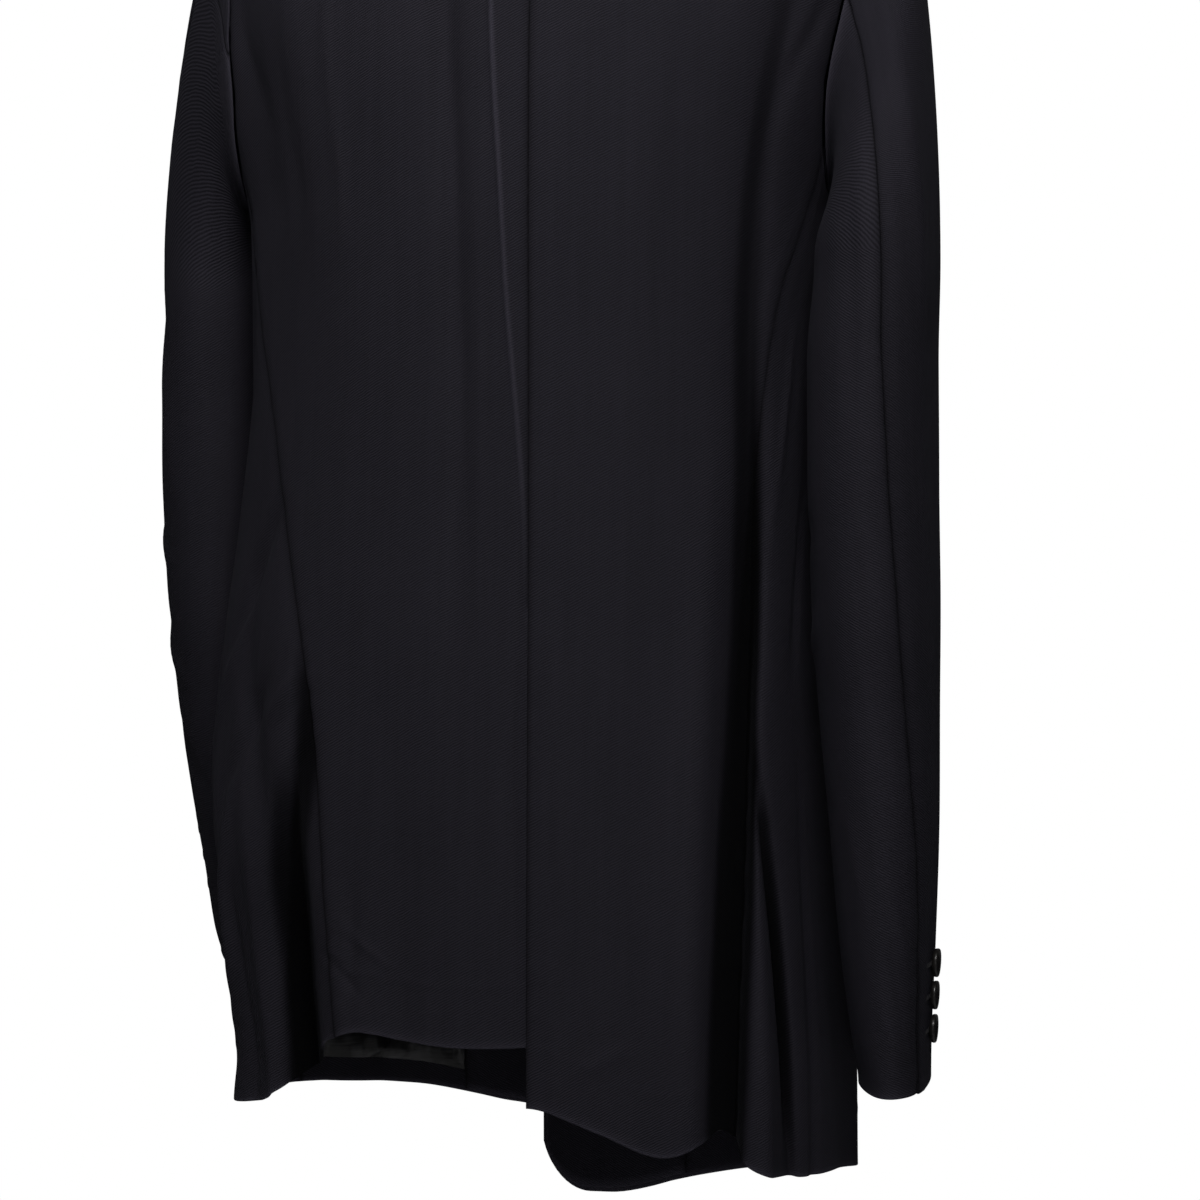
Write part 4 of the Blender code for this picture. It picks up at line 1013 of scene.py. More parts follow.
# ---------------------------------------------------------------- sleeves
STATION_STEP = 0.02  # how far apart the points are that give a sleeve's slope
CAP_QUIET = 0.25  # the share of the cap over which the creases set in
CLOTH_ROUND = (84, 54)  # columns of a top and an under sleeve


class Sleeve:
    """One sleeve: station 0 is the armhole, 1 the first free section and 2 the cuff."""

    def __init__(self, sign):
        self.sign = sign
        self.table = SLEEVE_LEFT if sign > 0 else SLEEVE_RIGHT
        self.elbow = Curve(ELBOW_LEFT if sign > 0 else ELBOW_RIGHT)
        self.drags = LEFT_SLEEVE_DRAGS if sign > 0 else RIGHT_SLEEVE_DRAGS
        self.curves = {name: Curve(self.table, at, 2) for at, name in enumerate(SLEEVE_COLUMNS)}
        self.top, self.low = self.table[0][2], self.table[-1][2]

    def height(self, station):
        """The height of a station on the sleeve's outer side."""
        above = self.elbow.keys[-1] + (self.top - self.elbow.keys[-1]) * station
        return np.where(station >= 1, self.top + (self.low - self.top) * (station - 1), above)

    def free(self, height, angle):
        """A point of the hanging sleeve, round sections set across its run."""
        def middle(level):
            level = np.clip(level, self.low, self.top)
            return np.stack([self.curves["x"](level), self.curves["y"](level), level + 0 * angle], -1)

        height = height + 0 * angle
        run = unit(middle(height + 0.01) - middle(height - 0.01))
        side = np.array([float(self.sign), 0.0, 0.0])
        outward = unit(side - run * (run @ side)[..., None])
        backward = np.cross(run, outward) * self.sign
        turn = np.radians(angle)[..., None]
        across, deep = (self.curves[name](height)[..., None] for name in ("across", "deep"))
        return middle(height) + outward * across * np.sin(turn) + backward * deep * np.cos(turn)

    def smooth_point(self, station, angle):
        """A point of the sleeve without creases, with its cap bent from the armhole."""
        station, angle = np.broadcast_arrays(station, angle)
        lower = self.free(self.top + (self.low - self.top) * np.maximum(station - 1, 0.0), angle)
        turn = np.radians(90 - angle)
        bearing = ARM_BEARING - ARM_SPREAD * ARM_INSIDE * np.sin(turn)
        height = ARM_HEIGHT + ARM_RISE * ARM_INSIDE * np.cos(turn)
        start = body_point(self.sign * bearing, height, SLEEVE_LIFT)
        end = self.free(self.top + 0 * station, angle)
        leave = np.zeros(start.shape)
        leave[..., 0] = self.sign * CAP_REACH
        leave[..., 2] = -CAP_DROP * (1 + np.cos(turn)) / 2 - CAP_FALL
        arrive = np.zeros(start.shape)
        arrive[..., 2] = CAP_ROUNDNESS * np.linalg.norm(end - start, axis=-1)
        t = np.minimum(station, 1.0)[..., None]
        upper = start * (1 - t) ** 3 + (start + leave) * 3 * t * (1 - t) ** 2
        upper += (end + arrive) * 3 * t * t * (1 - t) + end * t**3
        return np.where(station[..., None] >= 1, lower, upper)

    def normal(self, station, angle):
        before = np.maximum(station - STATION_STEP, 0.0)
        after = np.minimum(station + STATION_STEP, 2.0)
        along = self.smooth_point(after, angle) - self.smooth_point(before, angle)
        around = self.smooth_point(station, angle + 2) - self.smooth_point(station, angle - 2)
        return unit(np.cross(around, along)) * self.sign

    def relief(self, station, angle):
        height = self.height(station) + 0 * angle
        strength = settings().crease_strength
        quiet = smooth(station / CAP_QUIET)
        drag = marks(angle, height, self.drags, SLEEVE_DEGREE)
        soft = UNEVEN * ripple(angle * SLEEVE_DEGREE, 0.5 * height, 7 + self.sign)
        return quiet * strength * (drag + soft)

    def point(self, station, angle, lift=0.0):
        station, angle = np.broadcast_arrays(station, angle)
        raised = np.asarray(lift + self.relief(station, angle))
        return self.smooth_point(station, angle) + self.normal(station, angle) * raised[..., None]


def make_sleeves(cloth):
    thickness = settings().thickness
    for side, sign in SIDES:
        sleeve = Sleeve(sign)
        rows = int((sleeve.top - sleeve.low) / settings().spacing)
        stations = np.concatenate([
            np.linspace(0, 0.03, 3, endpoint=False), np.linspace(0.03, 1, ARM_ROWS, endpoint=False),
            np.linspace(1, 1.985, rows, endpoint=False), np.linspace(1.985, 2, 5),
        ])[:, None]
        seam = sleeve.elbow(sleeve.height(stations))
        slit = smooth((SLIT_TOP[sign] - sleeve.height(stations)) / SLIT_WIDTH)
        ends = ((seam, INNER_SEAM + 360), (INNER_SEAM + 0 * seam, seam))
        for part, (start, end), columns in zip(("top", "under"), ends, CLOTH_ROUND):
            shares = shares_from((0, 0.03, 5), (0.03, 0.97, columns), (0.97, 1, 5))[None, :]
            angle = start + SLEEVE_GAP + (end - start - 2 * SLEEVE_GAP) * shares
            face = sleeve.point(stations + 0 * angle, angle)
            normal = sleeve.normal(stations + 0 * angle, angle)
            u, v = lengths(face, 1), -lengths(face, 0)
            v = np.broadcast_to(v[:, [v.shape[1] // 2]], v.shape)
            lift = sewn_relief(u, v, None, (1, 1), 100 + sign + columns)
            if part == "top":
                lift += SLIT_LIFT * slit * np.exp(-u / SLIT_WIDTH)
            outer = face + normal * lift[..., None]
            inner = face + normal * (lift - thickness)[..., None]
            piece = shell(f"set_in_sleeve_{part}_{side}", outer, inner, u, v, cloth, sewn=(1, 1))
            cloth_piece(piece, f"sleeve_{part}_{side}")


# ---------------------------------------------------------------- buttons and stitches
def circle(sides, radius):
    turns = (math.tau * k / sides for k in range(sides))
    return [Vector((math.cos(turn), math.sin(turn))) * radius for turn in turns]


def turned_button(name, centre, normal, radius, thickness, horn):
    """A four-hole button: a turned disc with a rolled rim and a dished middle."""
    holes = [Vector((a, b)) * HOLE_PLACE * radius for a, b in ((1, 1), (-1, 1), (-1, -1), (1, -1))]
    sides, hole_sides = BUTTON_SIDES, HOLE_SIDES
    outline = circle(sides, BUTTON_DISH * radius)
    loops = [outline] + [[hole + point for point in circle(hole_sides, HOLE_RADIUS * radius)] for hole in holes]
    flat, edges = [], []
    for loop in loops:
        first = len(flat)
        flat += loop
        edges += [(first + k, first + (k + 1) % len(loop)) for k in range(len(loop))]
    points, _, faces, *_ = delaunay_2d_cdt(flat, edges, [], 0, 1e-7)
    middles = [sum((points[k] for k in face), Vector((0, 0))) / len(face) for face in faces]
    kept = [
        face for face, middle in zip(faces, middles)
        if all((middle - hole).length > HOLE_CLEAR * radius for hole in holes)
    ]
    bm = bmesh.new()
    upper = [bm.verts.new((p.x, p.y, BUTTON_FLOOR * thickness)) for p in points]
    lower = [bm.verts.new((p.x, p.y, 0)) for p in points]
    for face in kept:
        bm.faces.new([upper[k] for k in face])
        bm.faces.new([lower[k] for k in reversed(face)])
    first = sides
    for _ in holes:
        for k in range(hole_sides):
            a, b = first + k, first + (k + 1) % hole_sides
            bm.faces.new((upper[b], upper[a], lower[a], lower[b]))
        first += hole_sides
    rings = [upper[:sides]]
    for reach, rise in BUTTON_RIM:
        rings.append([bm.verts.new((*point, rise * thickness)) for point in circle(sides, reach * radius)])
    rings.append(lower[:sides])
    for near, far in zip(rings, rings[1:]):
        for k in range(sides):
            bm.faces.new((near[k], far[k], far[(k + 1) % sides], near[(k + 1) % sides]))
    turn = Vector((0, 0, 1)).rotation_difference(normal).to_matrix().to_4x4()
    bmesh.ops.transform(bm, matrix=Matrix.Translation(centre) @ turn, verts=bm.verts)
    bmesh.ops.recalc_face_normals(bm, faces=bm.faces)
    mesh = bpy.data.meshes.new(name)
    bm.to_mesh(mesh)
    bm.free()
    mesh.shade_smooth()
    mesh.set_sharp_from_angle(angle=math.radians(50))
    mesh.materials.append(horn)
    return placed(name, mesh)


def stitch_tree():
    """Stitches across a path: short rounded bars, set side by side, slightly uneven."""
    tree = bpy.data.node_groups.new("Stitch row", "GeometryNodeTree")
    face = tree.interface
    face.new_socket("Geometry", in_out="INPUT", socket_type="NodeSocketGeometry")
    for name, value in (("Spacing", 0.0006), ("Stitch length", 0.0022), ("Thread", 0.00022)):
        socket = face.new_socket(name, in_out="INPUT", socket_type="NodeSocketFloat")
        socket.default_value = value
    face.new_socket("Seed", in_out="INPUT", socket_type="NodeSocketInt")
    face.new_socket("Material", in_out="INPUT", socket_type="NodeSocketMaterial")
    face.new_socket("Geometry", in_out="OUTPUT", socket_type="NodeSocketGeometry")

    def node(kind, settings=(), **links):
        made = tree.nodes.new(kind)
        for key, value in settings:
            setattr(made, key, value)
        for key, value in links.items():
            socket = made.inputs[key.replace("_", " ")]
            if isinstance(value, bpy.types.NodeSocket):
                tree.links.new(value, socket)
            else:
                socket.default_value = value
        return made

    given = node("NodeGroupInput").outputs
    path = node(
        "GeometryNodeResampleCurve", [("mode", "LENGTH")], Curve=given["Geometry"], Length=given["Spacing"],
    )
    half = node("ShaderNodeMath", [("operation", "MULTIPLY")])
    tree.links.new(given["Stitch length"], half.inputs[0])
    half.inputs[1].default_value = 0.5
    start = node("ShaderNodeCombineXYZ", Y=half.outputs[0])
    bar = node("GeometryNodeCurvePrimitiveLine")
    end = node("ShaderNodeVectorMath", [("operation", "SCALE")])
    tree.links.new(start.outputs[0], end.inputs[0])
    end.inputs["Scale"].default_value = -1.0
    tree.links.new(start.outputs[0], bar.inputs["Start"])
    tree.links.new(end.outputs[0], bar.inputs["End"])
    ring = node("GeometryNodeCurvePrimitiveCircle", Resolution=8, Radius=given["Thread"])
    solid = node("GeometryNodeCurveToMesh", Curve=bar.outputs[0])
    tree.links.new(ring.outputs["Curve"], solid.inputs["Profile Curve"])
    solid.inputs["Fill Caps"].default_value = True
    points = node("GeometryNodeCurveToPoints", [("mode", "EVALUATED")], Curve=path.outputs[0])
    uneven = node("FunctionNodeRandomValue", [("data_type", "FLOAT_VECTOR")])
    uneven.inputs[0].default_value = (-0.08, -0.08, -0.12)
    uneven.inputs[1].default_value = (0.08, 0.08, 0.12)
    tree.links.new(given["Seed"], uneven.inputs["Seed"])
    spread = node("GeometryNodeInstanceOnPoints", Points=points.outputs[0])
    tree.links.new(solid.outputs[0], spread.inputs["Instance"])
    tree.links.new(points.outputs["Rotation"], spread.inputs["Rotation"])
    turned = node("GeometryNodeRotateInstances", Instances=spread.outputs[0])
    tree.links.new(uneven.outputs[0], turned.inputs["Rotation"])
    real = node("GeometryNodeRealizeInstances", Geometry=turned.outputs[0])
    smooth_shade = node("GeometryNodeSetShadeSmooth", Geometry=real.outputs[0])
    finish = node("GeometryNodeSetMaterial", Geometry=smooth_shade.outputs[0], Material=given["Material"])
    result = node("NodeGroupOutput")
    tree.links.new(finish.outputs[0], result.inputs[0])
    return tree


def stitch_row(name, tree, points, sizes, seed, material):
    """Stitches along the points of a path, made a plain mesh."""
    curve = bpy.data.curves.new(name, "CURVE")
    curve.dimensions = "3D"
    line = curve.splines.new("POLY")
    line.points.add(len(points) - 1)
    for point, place in zip(line.points, points):
        point.co = (*place, 1)
    source = placed(name + "_path", curve)
    modifier = source.modifiers.new("stitches", "NODES")
    modifier.node_group = tree
    values = dict(zip(("Spacing", "Stitch length", "Thread"), sizes), Seed=seed, Material=material)
    for item in tree.interface.items_tree:
        if item.in_out == "INPUT" and item.name in values:
            modifier[item.identifier] = values[item.name]
    graph = bpy.context.evaluated_depsgraph_get()
    mesh = bpy.data.meshes.new_from_object(source.evaluated_get(graph), depsgraph=graph)
    bpy.data.objects.remove(source, do_unlink=True)
    mesh.name = name
    if not mesh.polygons:
        raise RuntimeError(f"{name}: no stitches came out")
    piece = placed(name, mesh)
    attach(piece, "root")


def button_set(node, foot, normal, way, size, seed, horn, thread, tree):
    """One button with its two threads; way is how its buttonhole runs."""
    radius, thickness = size
    across = (way - normal * way.dot(normal)).normalized()
    other = normal.cross(across).normalized()
    centre = foot + normal * SEAT_GAP
    piece = turned_button("sewn_" + node, centre, normal, radius, thickness, horn)
    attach(piece, "root")
    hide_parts(node)
    top = centre + normal * (BUTTON_FLOOR * thickness + THREAD_GAP)
    for number, turn in enumerate((1, -1)):
        start = top + (across + other * turn) * HOLE_PLACE * radius
        end = top + (other * turn - across) * HOLE_PLACE * radius
        dip, middle = normal * THREAD_DIP, (start + end) / 2 + normal * THREAD_RISE
        path = [start - dip, start, middle, end, end - dip]
        stitch_row(f"sewn_{node}_thread_{number + 1}", tree, path, WINDING, seed + number, thread)


def make_buttons(horn, thread):
    tree = stitch_tree()
    for side, sign, heights, angle in CUFF_BUTTONS:
        sleeve = Sleeve(sign)
        for number, height in enumerate(heights, 1):
            station = 1 + (sleeve.top - height) / (sleeve.top - sleeve.low)
            at = [np.array([[value]], float) for value in (station, angle)]
            foot = Vector(sleeve.point(*at)[0, 0])
            normal = Vector(sleeve.normal(*at)[0, 0])
            ahead = Vector(sleeve.point(at[0], at[1] - 4)[0, 0])
            way = (ahead - foot).normalized()
            node = f"cuff_button_{side}_{number}"
            button_set(node, foot, normal, way, CUFF_BUTTON, 10 * number, horn, thread, tree)
            angles = angle - sign * np.linspace(*CUFF_HOLE, HOLE_POINTS)[None, :]
            row = sleeve.point(station + 0 * angles, angles, HOLE_LIFT)[0]
            name = f"cuff_buttonhole_{side}_{number}"
            stitch_row(name, tree, row, CUFF_HOLE_STITCH, 40 + number, thread)
    x = (FRONT_LAP[1] - FRONT_LAP[-1]) / 2
    for number, drop in enumerate(FRONT_BUTTON_DROPS, 1):
        height = BREAK_HEIGHT - drop
        bearing = np.array([float(bearing_at(np.array(x), np.array(height), 1))])
        foot = Vector(body_point(bearing, [height])[0])
        normal = Vector(body_normal(bearing, np.array([height]))[0])
        way = Vector((-1, 0, 0))
        node = f"front_button_{number}"
        button_set(node, foot, normal, way, FRONT_BUTTON, 70 + 5 * number, horn, thread, tree)
        places = x + np.linspace(*FRONT_HOLE, HOLE_POINTS)
        heights = np.full(HOLE_POINTS, height)
        row = body_point(bearing_at(places, heights, 1), heights, HOLE_LIFT)
        stitch_row(f"front_buttonhole_{number}", tree, row, FRONT_HOLE_STITCH, 90 + number, thread)


# ---------------------------------------------------------------- materials
class Value:
    """A shader socket with arithmetic."""

    def __init__(self, tree, socket):
        self.tree, self.socket = tree, socket

    def maths(self, operation, *others):
        made = self.tree.nodes.new("ShaderNodeMath")
        made.operation = operation
        for slot, value in zip(made.inputs, (self, *others)):
            if isinstance(value, Value):
                self.tree.links.new(value.socket, slot)
            else:
                slot.default_value = value
        return Value(self.tree, made.outputs[0])

    def __add__(self, other):
        return self.maths("ADD", other)

    __radd__ = __add__

    def __sub__(self, other):
        return self.maths("SUBTRACT", other)

    def __mul__(self, other):
        return self.maths("MULTIPLY", other)

    def __truediv__(self, other):
        return self.maths("DIVIDE", other)

    def sin(self):
        return self.maths("SINE")

    def clamp(self):
        made = self.maths("ADD", 0.0)
        made.socket.node.use_clamp = True
        return made


class Surface:
    """A material whose Principled shader is fed by a few named patterns."""

    def __init__(self, name, **constants):
        self.material = bpy.data.materials.new(name)
        self.material.use_nodes = True
        self.tree = self.material.node_tree
        self.shader = self.tree.nodes["Principled BSDF"]
        for key, value in constants.items():
            self.shader.inputs[key.replace("_", " ")].default_value = value

    def node(self, kind, output=0, settings=(), **inputs):
        made = self.tree.nodes.new(kind)
        for key, value in dict(settings).items():
            setattr(made, key, value)
        for key, value in inputs.items():
            slot = made.inputs[key.replace("_", " ")]
            if isinstance(value, Value):
                self.tree.links.new(value.socket, slot)
            else:
                slot.default_value = value
        return Value(self.tree, made.outputs[output])

    def noise(self, place, scale, detail=2.0, stretch=(1, 1, 1)):
        mapped = self.node("ShaderNodeMapping", Vector=place, Scale=stretch)
        return self.node("ShaderNodeTexNoise", "Fac", Vector=mapped, Scale=scale, Detail=detail)

    def mix(self, share, dark, light):
        made = self.tree.nodes.new("ShaderNodeMix")
        made.data_type = "RGBA"
        self.tree.links.new(share.socket, made.inputs["Factor"])
        for slot, value in (("A", dark), ("B", light)):
            place = [s for s in made.inputs if s.name == slot and s.type == "RGBA"][0]
            if isinstance(value, Value):
                self.tree.links.new(value.socket, place)
            else:
                place.default_value = (*value, 1)
        return Value(self.tree, [s for s in made.outputs if s.type == "RGBA"][0])

    def bump(self, height, distance, strength=1.0):
        return self.node("ShaderNodeBump", "Normal", Height=height, Distance=distance, Strength=strength)

    def feed(self, **links):
        for key, value in links.items():
            self.tree.links.new(value.socket, self.shader.inputs[key.replace("_", " ")])
        return self.material


def shade(colour, factor):
    return tuple(channel * factor for channel in colour)


def wool():
    """Black twill: fine slanting ribs, uneven yarns, a little fuzz and a faint bloom, with a painted highlight
    on the edges and crease tops and painted shade in the seams and deep folds.
    """
    given = settings()
    colour = tuple(given.cloth_colour)
    surface = Surface(
        "black_wool_twill", Specular_IOR_Level=given.cloth_specular, Sheen_Weight=given.cloth_sheen,
        Sheen_Roughness=0.45, Sheen_Tint=(0.80, 0.82, 1.0, 1),
    )
    place = surface.node("ShaderNodeUVMap", 0, {"uv_map": "UVMap"})
    u = surface.node("ShaderNodeSeparateXYZ", "X", Vector=place)
    v = surface.node("ShaderNodeSeparateXYZ", "Y", Vector=place)
    slant = math.radians(given.twill_angle)
    uneven = surface.noise(place, 160.0, 2.0)
    phase = (u * math.sin(slant) + v * math.cos(slant)) / given.twill_pitch + uneven * 0.9
    rib = (phase * math.tau).sin() * 0.5 + 0.5
    yarn = surface.noise(place, 1500.0, 1.0, (1.0, 0.45, 1.0))
    fuzz = surface.noise(place, 3200.0, 2.0)
    cloud = surface.noise(place, 16.0, 3.0)
    streak = surface.noise(place, 220.0, 2.0, (1.0, 0.05, 1.0))
    edge, seam, hollow = (
        surface.node("ShaderNodeAttribute", "Fac", {"attribute_name": name})
        for name in ("edge", "seam", "hollow")
    )
    tone = (rib * 0.44 + yarn * 0.34 + fuzz * 0.20 + cloud * 0.16 + streak * 0.14 - 0.14).clamp()
    woven = surface.mix(tone, shade(colour, 0.22), shade(colour, 1.85))
    # painted highlight along the free edges and crease tops, partly edge wear
    edge_highlight = surface.mix((edge * 0.7).clamp(), woven, shade(colour, 2.8))
    # painted shade: the colour darkens along the sewn edges, in the seam lines
    sewn = surface.mix((seam * 0.8).clamp(), edge_highlight, shade(colour, 0.15))
    return surface.feed(
        # painted shade: in and beside the deep folds the colour goes nearly black, where light hardly gets in
        Base_Color=surface.mix((hollow * 0.97).clamp(), sewn, shade(colour, 0.03)),
        Roughness=(0.70 + yarn * 0.14 + hollow * 0.25).clamp(),
        Normal=surface.bump(rib * 0.55 + yarn * 0.35 + fuzz * 0.25, 0.0003, 1.0),
    )


def satin():
    """Black satin: glossy, softly crumpled, with fine crossways threads; the light patches in its colour, on
    the tops of its puffs, are painted sheen.
    """
    surface = Surface("black_satin_lining", Specular_IOR_Level=0.32, Coat_Weight=0.12, Coat_Roughness=0.30)
    place = surface.node("ShaderNodeUVMap", 0, {"uv_map": "UVMap"})
    threads = surface.noise(place, 900.0, 1.0, (0.08, 1.0, 1.0))
    cloud = surface.noise(place, 55.0, 2.0, (1.0, 0.8, 1.0))
    tone = ((cloud - 0.50) * 4.0 + threads * 0.3).clamp()
    return surface.feed(
        # painted sheen: the colour lightens where the bump's puffs rise
        Base_Color=surface.mix(tone, (0.003, 0.003, 0.004), (0.085, 0.085, 0.092)),
        Roughness=(0.26 + threads * 0.12).clamp(),
        Normal=surface.bump(cloud * 0.95 + threads * 0.05, 0.004, 1.0),
    )


def horn():
    """Black button horn, with faint streaks."""
    surface = Surface("black_horn", Specular_IOR_Level=0.5)
    place = surface.node("ShaderNodeTexCoord", "Object")
    streaks = surface.noise(place, 260.0, 4.0, (1.0, 0.3, 1.0))
    specks = surface.noise(place, 2400.0, 2.0)
    return surface.feed(
        Base_Color=surface.mix(streaks.clamp(), (0.004, 0.004, 0.004), (0.02, 0.018, 0.017)),
        Roughness=(0.22 + streaks * 0.16 + specks * 0.06).clamp(),
        Normal=surface.bump(specks, 0.00004, 0.5),
    )


def thread():
    """Black sewing thread."""
    surface = Surface("black_thread", Specular_IOR_Level=0.3, Sheen_Weight=0.1)
    place = surface.node("ShaderNodeTexCoord", "Object")
    twist = surface.noise(place, 4200.0, 1.0)
    return surface.feed(
        Base_Color=surface.mix(twist.clamp(), (0.006, 0.006, 0.008), (0.026, 0.026, 0.031)),
        Roughness=(0.55 + twist * 0.2).clamp(),
        Normal=surface.bump(twist, 0.00008, 0.6),
    )


def pale_floor():
    surface = Surface("pale_floor", Specular_IOR_Level=0.2)
    place = surface.node("ShaderNodeTexCoord", "Object")
    cloud = surface.noise(place, 3.0, 3.0)
    return surface.feed(
        Base_Color=surface.mix(cloud, (0.78, 0.78, 0.78), (0.84, 0.84, 0.84)),
        Roughness=(0.6 + cloud * 0.1).clamp(),
    )


def white_backdrop():
    return Surface(
        "white_backdrop", Base_Color=(0, 0, 0, 1), Specular_IOR_Level=0.0, Emission_Color=(1, 1, 1, 1),
        Emission_Strength=1.0,
    ).material


def held_materials():
    """The object's materials, made once and found again by their names."""
    makers = {"black_wool_twill": wool, "black_satin_lining": satin, "black_horn": horn, "black_thread": thread}
    return {name: bpy.data.materials.get(name) or make() for name, make in makers.items()}


# ---------------------------------------------------------------- the stage
def lathe(name, profile, material, sides=96):
    """A round stage surface from rows of radius and height."""
    bm = bmesh.new()
    rings = [[bm.verts.new((*point, height)) for point in circle(sides, radius)] for radius, height in profile]
    for near, far in zip(rings, rings[1:]):
        for k in range(sides):
            bm.faces.new((near[k], near[(k + 1) % sides], far[(k + 1) % sides], far[k]))
    bm.faces.new(rings[0][::-1])
    bm.faces.new(rings[-1])
    mesh = bpy.data.meshes.new(name)
    bm.to_mesh(mesh)
    bm.free()
    mesh.shade_smooth()
    mesh.set_sharp_from_angle(angle=math.radians(40))
    mesh.materials.append(material)
    piece = placed(name, mesh)
    return piece


def soft_light(name, place, aim, size, power, colour):
    light = bpy.data.lights.new(name, "AREA")
    light.shape = "RECTANGLE"
    light.size, light.size_y = size
    light.energy = power
    light.color = colour
    lamp = placed(name, light)
    lamp.location = place
    lamp.rotation_euler = (Vector(aim) - Vector(place)).to_track_quat("-Z", "Y").to_euler()


def make_stage():
    given = bpy.context.scene.jacket_stage
    scene = bpy.context.scene
    scene.view_settings.view_transform = "Standard"
    floor = lathe("floor", ((2.8, given.floor_height - 0.05), (2.8, given.floor_height)), pale_floor())
    backdrop = lathe("backdrop", ((7.0, -3.0), (7.0, 5.0)), white_backdrop())
    backdrop.visible_diffuse = backdrop.visible_glossy = backdrop.visible_shadow = False
    floor.visible_shadow = False
    world = bpy.data.worlds.new("studio")
    world.use_nodes = True
    background = world.node_tree.nodes["Background"]
    background.inputs["Color"].default_value = (0.93, 0.96, 1.0, 1)
    background.inputs["Strength"].default_value = given.fill
    scene.world = world
    for name, place, aim, size, share, colour in LIGHTS:
        soft_light(name, place, aim, size, share * given.power, colour)
    yaw = math.radians(given.camera_yaw)
    depth = Vector((math.sin(yaw), -math.cos(yaw), 0.0))
    right = Vector((-math.cos(yaw), -math.sin(yaw), 0.0))
    camera_data = bpy.data.cameras.new("photo_camera")
    camera_data.sensor_width = 36.0
    camera_data.lens = given.camera_lens
    camera = placed("photo_camera", camera_data)
    camera.location = right * given.camera_right - depth * given.camera_distance
    camera.location.z += given.camera_height
    camera.rotation_euler = depth.to_track_quat("-Z", "Y").to_euler()
    scene.camera = camera


# ---------------------------------------------------------------- the add-on
class JacketCloth(bpy.types.PropertyGroup):
    """Sizes and looks of the cloth"""

    spacing: FloatProperty(
        name="Spacing", description="Distance between the cloth's rows", default=0.0034, min=0.001, max=0.02,
        unit="LENGTH",
    )
    thickness: FloatProperty(
        name="Thickness", description="Thickness of the cloth walls", default=0.002, min=0.0005, max=0.004,
        unit="LENGTH",
    )
    crease_strength: FloatProperty(
        name="Crease strength", description="How deep the fine creases are, 1 as pressed", default=1.0, min=0.0,
        max=2.0,
    )
    twill_pitch: FloatProperty(
        name="Twill pitch", description="Distance between the slanting ribs", default=0.00125, min=0.0004,
        max=0.005, unit="LENGTH",
    )
    twill_angle: FloatProperty(
        name="Twill angle", description="Slant of the ribs against the weft, in degrees", default=28.0, min=0.0,
        max=80.0,
    )
    cloth_colour: FloatVectorProperty(
        name="Cloth colour", description="Colour of the wool", subtype="COLOR", size=3,
        default=(0.0225, 0.0213, 0.0285), min=0.0, max=1.0,
    )
    cloth_sheen: FloatProperty(
        name="Sheen", description="Bloom of the wool at grazing angles", default=0.015, min=0.0, max=1.0,
        subtype="FACTOR",
    )
    cloth_specular: FloatProperty(
        name="Specular", description="Mirror share of the wool", default=0.07, min=0.0, max=1.0,
        subtype="FACTOR",
    )


class JacketStage(bpy.types.PropertyGroup):
    """Camera, light and floor"""

    camera_yaw: FloatProperty(
        name="Camera yaw", description="How far the camera stands round from straight behind, in degrees",
        default=8.0, min=-180.0, max=180.0,
    )
    camera_distance: FloatProperty(
        name="Camera distance", description="From the camera to the jacket's middle", default=1.6, min=0.3,
        max=10.0, unit="LENGTH",
    )
    camera_height: FloatProperty(
        name="Camera height", description="Against the nape", default=-0.463, min=-2.0, max=2.0, unit="LENGTH",
    )
    camera_right: FloatProperty(
        name="Camera offset", description="To the picture's right", default=0.02035, min=-1.0, max=1.0,
        unit="LENGTH",
    )
    camera_lens: FloatProperty(
        name="Lens", description="Focal length in millimetres", default=87.27, min=10.0, max=400.0,
    )
    power: FloatProperty(
        name="Light", description="Power of all the lamps together, in watts", default=19.0, min=0.0,
        max=5000.0,
    )
    fill: FloatProperty(
        name="Fill", description="Strength of the light from all round", default=0.02, min=0.0, max=5.0,
    )
    floor_height: FloatProperty(
        name="Floor", description="Height of the floor against the nape", default=-1.45, min=-3.0, max=-0.9,
        unit="LENGTH",
    )


class JACKET_OT_backs(bpy.types.Operator):
    """Make both backs, with the vent between them"""

    bl_idname = "jacket.backs"
    bl_label = "Backs"

    def execute(self, context):
        make_backs(held_materials()["black_wool_twill"])
        return {"FINISHED"}


class JACKET_OT_sides(bpy.types.Operator):
    """Make the side bodies under the arms"""

    bl_idname = "jacket.sides"
    bl_label = "Sides"

    def execute(self, context):
        make_sides(held_materials()["black_wool_twill"])
        return {"FINISHED"}


class JACKET_OT_fronts(bpy.types.Operator):
    """Make both fronts, with their rounded corners"""

    bl_idname = "jacket.fronts"
    bl_label = "Fronts"

    def execute(self, context):
        make_fronts(held_materials()["black_wool_twill"])
        return {"FINISHED"}


class JACKET_OT_inside(bpy.types.Operator):
    """Make the facings and the satin lining inside the fronts"""

    bl_idname = "jacket.inside"
    bl_label = "Facings and lining"

    def execute(self, context):
        held = held_materials()
        make_inside(held["black_wool_twill"], held["black_satin_lining"])
        return {"FINISHED"}


class JACKET_OT_collar(bpy.types.Operator):
    """Make the lapels and the collar"""

    bl_idname = "jacket.collar"
    bl_label = "Lapels and collar"

    def execute(self, context):
        cloth = held_materials()["black_wool_twill"]
        make_lapels(cloth)
        make_collar(cloth)
        return {"FINISHED"}


class JACKET_OT_flaps(bpy.types.Operator):
    """Make the hip pocket flaps"""

    bl_idname = "jacket.flaps"
    bl_label = "Pocket flaps"

    def execute(self, context):
        make_flaps(held_materials()["black_wool_twill"])
        return {"FINISHED"}


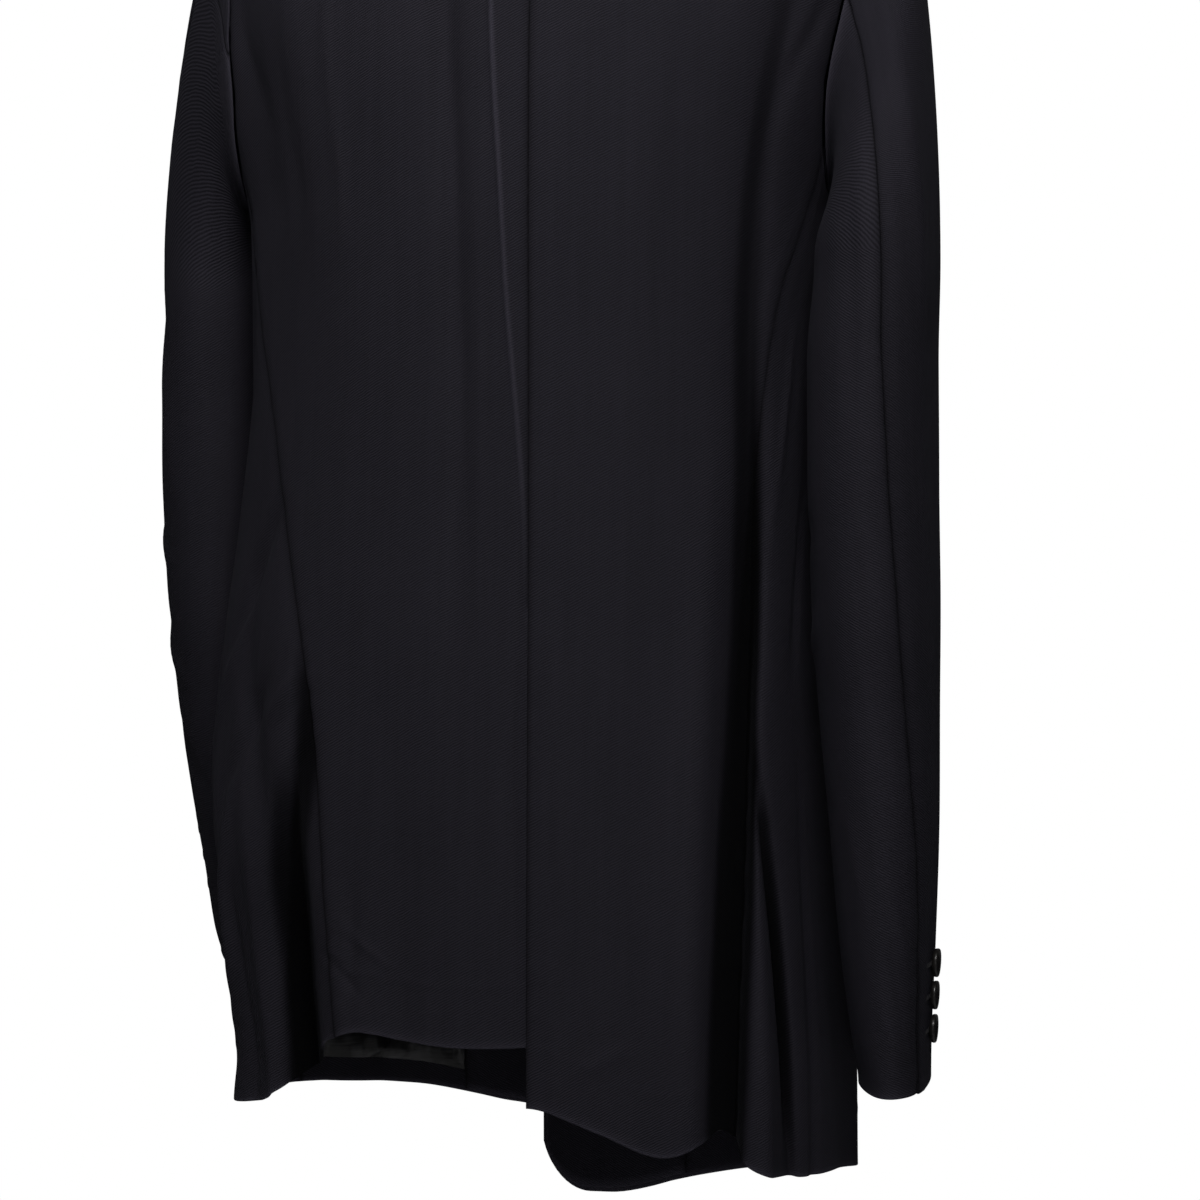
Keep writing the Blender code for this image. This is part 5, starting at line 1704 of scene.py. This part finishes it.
class JACKET_OT_sleeves(bpy.types.Operator):
    """Make the two-piece sleeves"""

    bl_idname = "jacket.sleeves"
    bl_label = "Sleeves"

    def execute(self, context):
        make_sleeves(held_materials()["black_wool_twill"])
        return {"FINISHED"}


class JACKET_OT_buttons(bpy.types.Operator):
    """Make the buttons, their thread and the buttonholes"""

    bl_idname = "jacket.buttons"
    bl_label = "Buttons"

    def execute(self, context):
        held = held_materials()
        make_buttons(held["black_horn"], held["black_thread"])
        return {"FINISHED"}


class JACKET_OT_stage(bpy.types.Operator):
    """Make the floor, backdrop, lamps and camera"""

    bl_idname = "jacket.stage"
    bl_label = "Stage"

    def execute(self, context):
        make_stage()
        return {"FINISHED"}


OPERATORS = (
    JACKET_OT_backs, JACKET_OT_sides, JACKET_OT_fronts, JACKET_OT_inside, JACKET_OT_collar,
    JACKET_OT_flaps, JACKET_OT_sleeves, JACKET_OT_buttons, JACKET_OT_stage,
)


class JACKET_PT_panel(bpy.types.Panel):
    """The jacket's sizes and its steps, in order"""

    bl_idname = "JACKET_PT_panel"
    bl_label = "Tailored jacket"
    bl_space_type = "VIEW_3D"
    bl_region_type = "UI"
    bl_category = "Jacket"

    def draw(self, context):
        for group in (context.scene.jacket_cloth, context.scene.jacket_stage):
            box = self.layout.box()
            for name in group.__annotations__:
                box.prop(group, name)
        for operator in OPERATORS:
            self.layout.operator(operator.bl_idname)


CLASSES = (JacketCloth, JacketStage, *OPERATORS, JACKET_PT_panel)


def register():
    for made in CLASSES:
        bpy.utils.register_class(made)
    bpy.types.Scene.jacket_cloth = PointerProperty(type=JacketCloth)
    bpy.types.Scene.jacket_stage = PointerProperty(type=JacketStage)


def unregister():
    del bpy.types.Scene.jacket_stage
    del bpy.types.Scene.jacket_cloth
    for made in reversed(CLASSES):
        bpy.utils.unregister_class(made)


def main():
    register()
    for operator in OPERATORS:
        group, name = operator.bl_idname.split(".")
        if getattr(getattr(bpy.ops, group), name)() != {"FINISHED"}:
            raise RuntimeError(f"{operator.bl_label} didn't finish")


if __name__ == "__main__":
    main()
